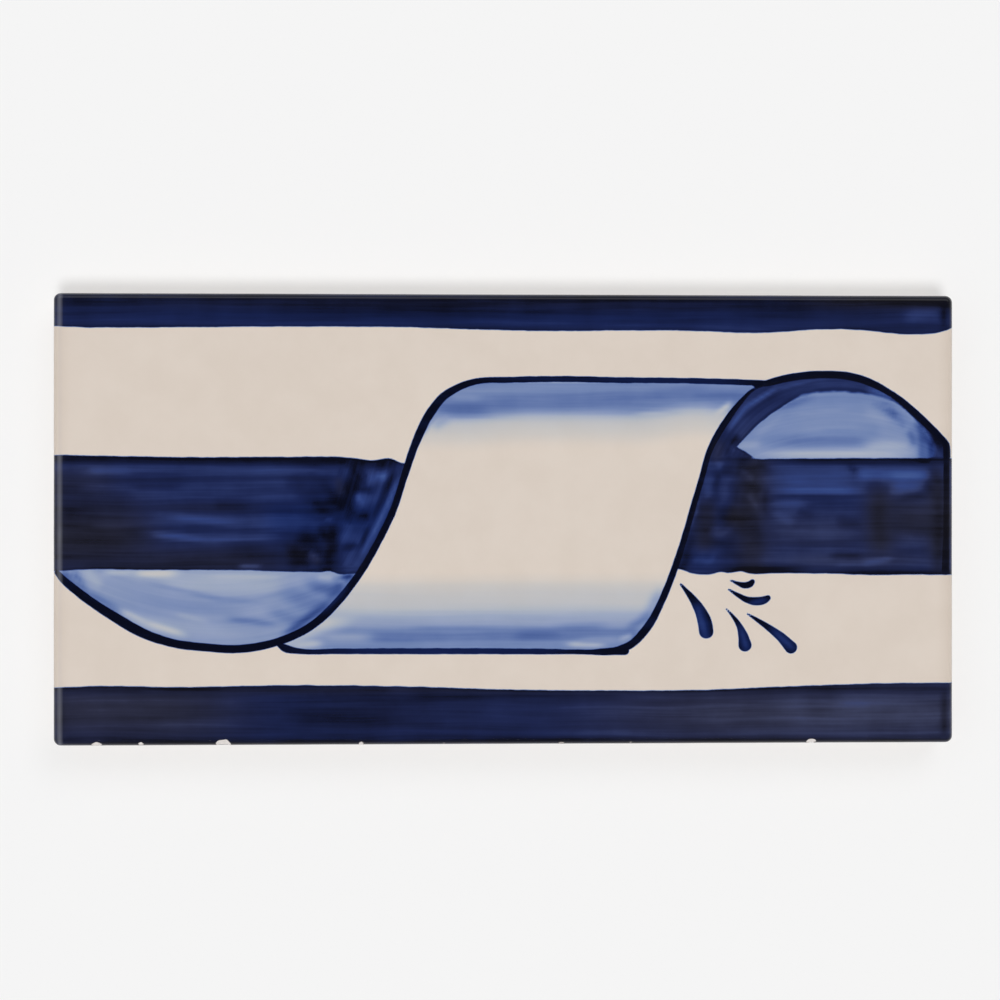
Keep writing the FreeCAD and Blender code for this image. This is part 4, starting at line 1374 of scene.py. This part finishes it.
grog = add_node(tree, "TexNoise", {"Vector": place, "Scale": 1 / GROG_SIZE, "Detail": 4.0})
inputs = {"Factor": clouds, "A": colour(BISCUIT[0]), "B": colour(BISCUIT[1])}
biscuit_tint = add_node(tree, "Mix", inputs, data_type="RGBA")
inputs = {"Value": above_foot, "From Min": -FLASH_WIDTH, "From Max": 0.0, "To Max": FLASH_SHARE}
flashing = add_node(tree, "MapRange", inputs, interpolation_type="SMOOTHSTEP")
flashed = add_node(tree, "Math", {0: flashing, 1: whole_glaze}, operation="MULTIPLY")
inputs = {"Factor": flashed, "A": biscuit_tint, "B": colour(FLASHED_BISCUIT)}
flashed_biscuit = add_node(tree, "Mix", inputs, data_type="RGBA")
inputs = {"Factor": whole_glaze, "A": colour(FRESH_BREAK), "B": flashed_biscuit}
fresh_or_fired = add_node(tree, "Mix", inputs, data_type="RGBA")

inputs = {"Value": grog, "From Min": 0.3, "From Max": 0.7, "To Min": 0.90, "To Max": 1.06}
grog_shade = add_node(tree, "MapRange", inputs)
biscuit_colour = add_node(tree, "VectorMath", {0: fresh_or_fired, "Scale": grog_shade}, operation="SCALE")
inputs = {"Factor": glaze_cover, "A": biscuit_colour, "B": painted_colour}
surface_colour = add_node(tree, "Mix", inputs, data_type="RGBA")
print(f"biscuit flashed over {FLASH_WIDTH} mm below the glaze")

# %% [markdown]
# ## Gloss and relief
#
# Fired glaze has an index of refraction of about 1.5 and is nearly as smooth as glass, with a slight
# orange peel. Biscuit is rough and open. The relief is given in millimetres: the glaze stands a little
# proud of the biscuit, which shows as a rounded rim where it ends.

# %% Relief
GLAZE_THICKNESS = 0.14
PEEL_SIZE = 2.4
PEEL_DEPTH = 0.006
GROG_DEPTH = 0.05
BISCUIT_ROUGHNESS = 0.88
GLAZE_ROUGHNESS = 0.14

peel = add_node(tree, "TexNoise", {"Vector": place, "Scale": 1 / PEEL_SIZE, "Detail": 1.0})
inputs = {0: peel, 1: PEEL_DEPTH, 2: GLAZE_THICKNESS}
peel_height = add_node(tree, "Math", inputs, operation="MULTIPLY_ADD")
grog_height = add_node(tree, "Math", {0: grog, 1: GROG_DEPTH}, operation="MULTIPLY")
relief = add_node(tree, "Mix", {"Factor": glaze_cover, "A": grog_height, "B": peel_height})
bump = add_node(tree, "Bump", {"Strength": 1.0, "Distance": MM, "Height": relief})
inputs = {"Value": glaze_cover, "To Min": BISCUIT_ROUGHNESS, "To Max": GLAZE_ROUGHNESS}
roughness = add_node(tree, "MapRange", inputs)
inputs = {"Base Color": surface_colour, "Roughness": roughness, "IOR": 1.5, "Normal": bump}
shader = add_node(tree, "BsdfPrincipled", inputs)
add_node(tree, "OutputMaterial", {"Surface": shader})
tile_mesh.materials.append(glazed)
print(f"glaze {GLAZE_THICKNESS} mm thick")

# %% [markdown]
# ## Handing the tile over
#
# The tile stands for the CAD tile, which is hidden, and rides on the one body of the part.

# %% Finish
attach(tile, "root")
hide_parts("border_tile")
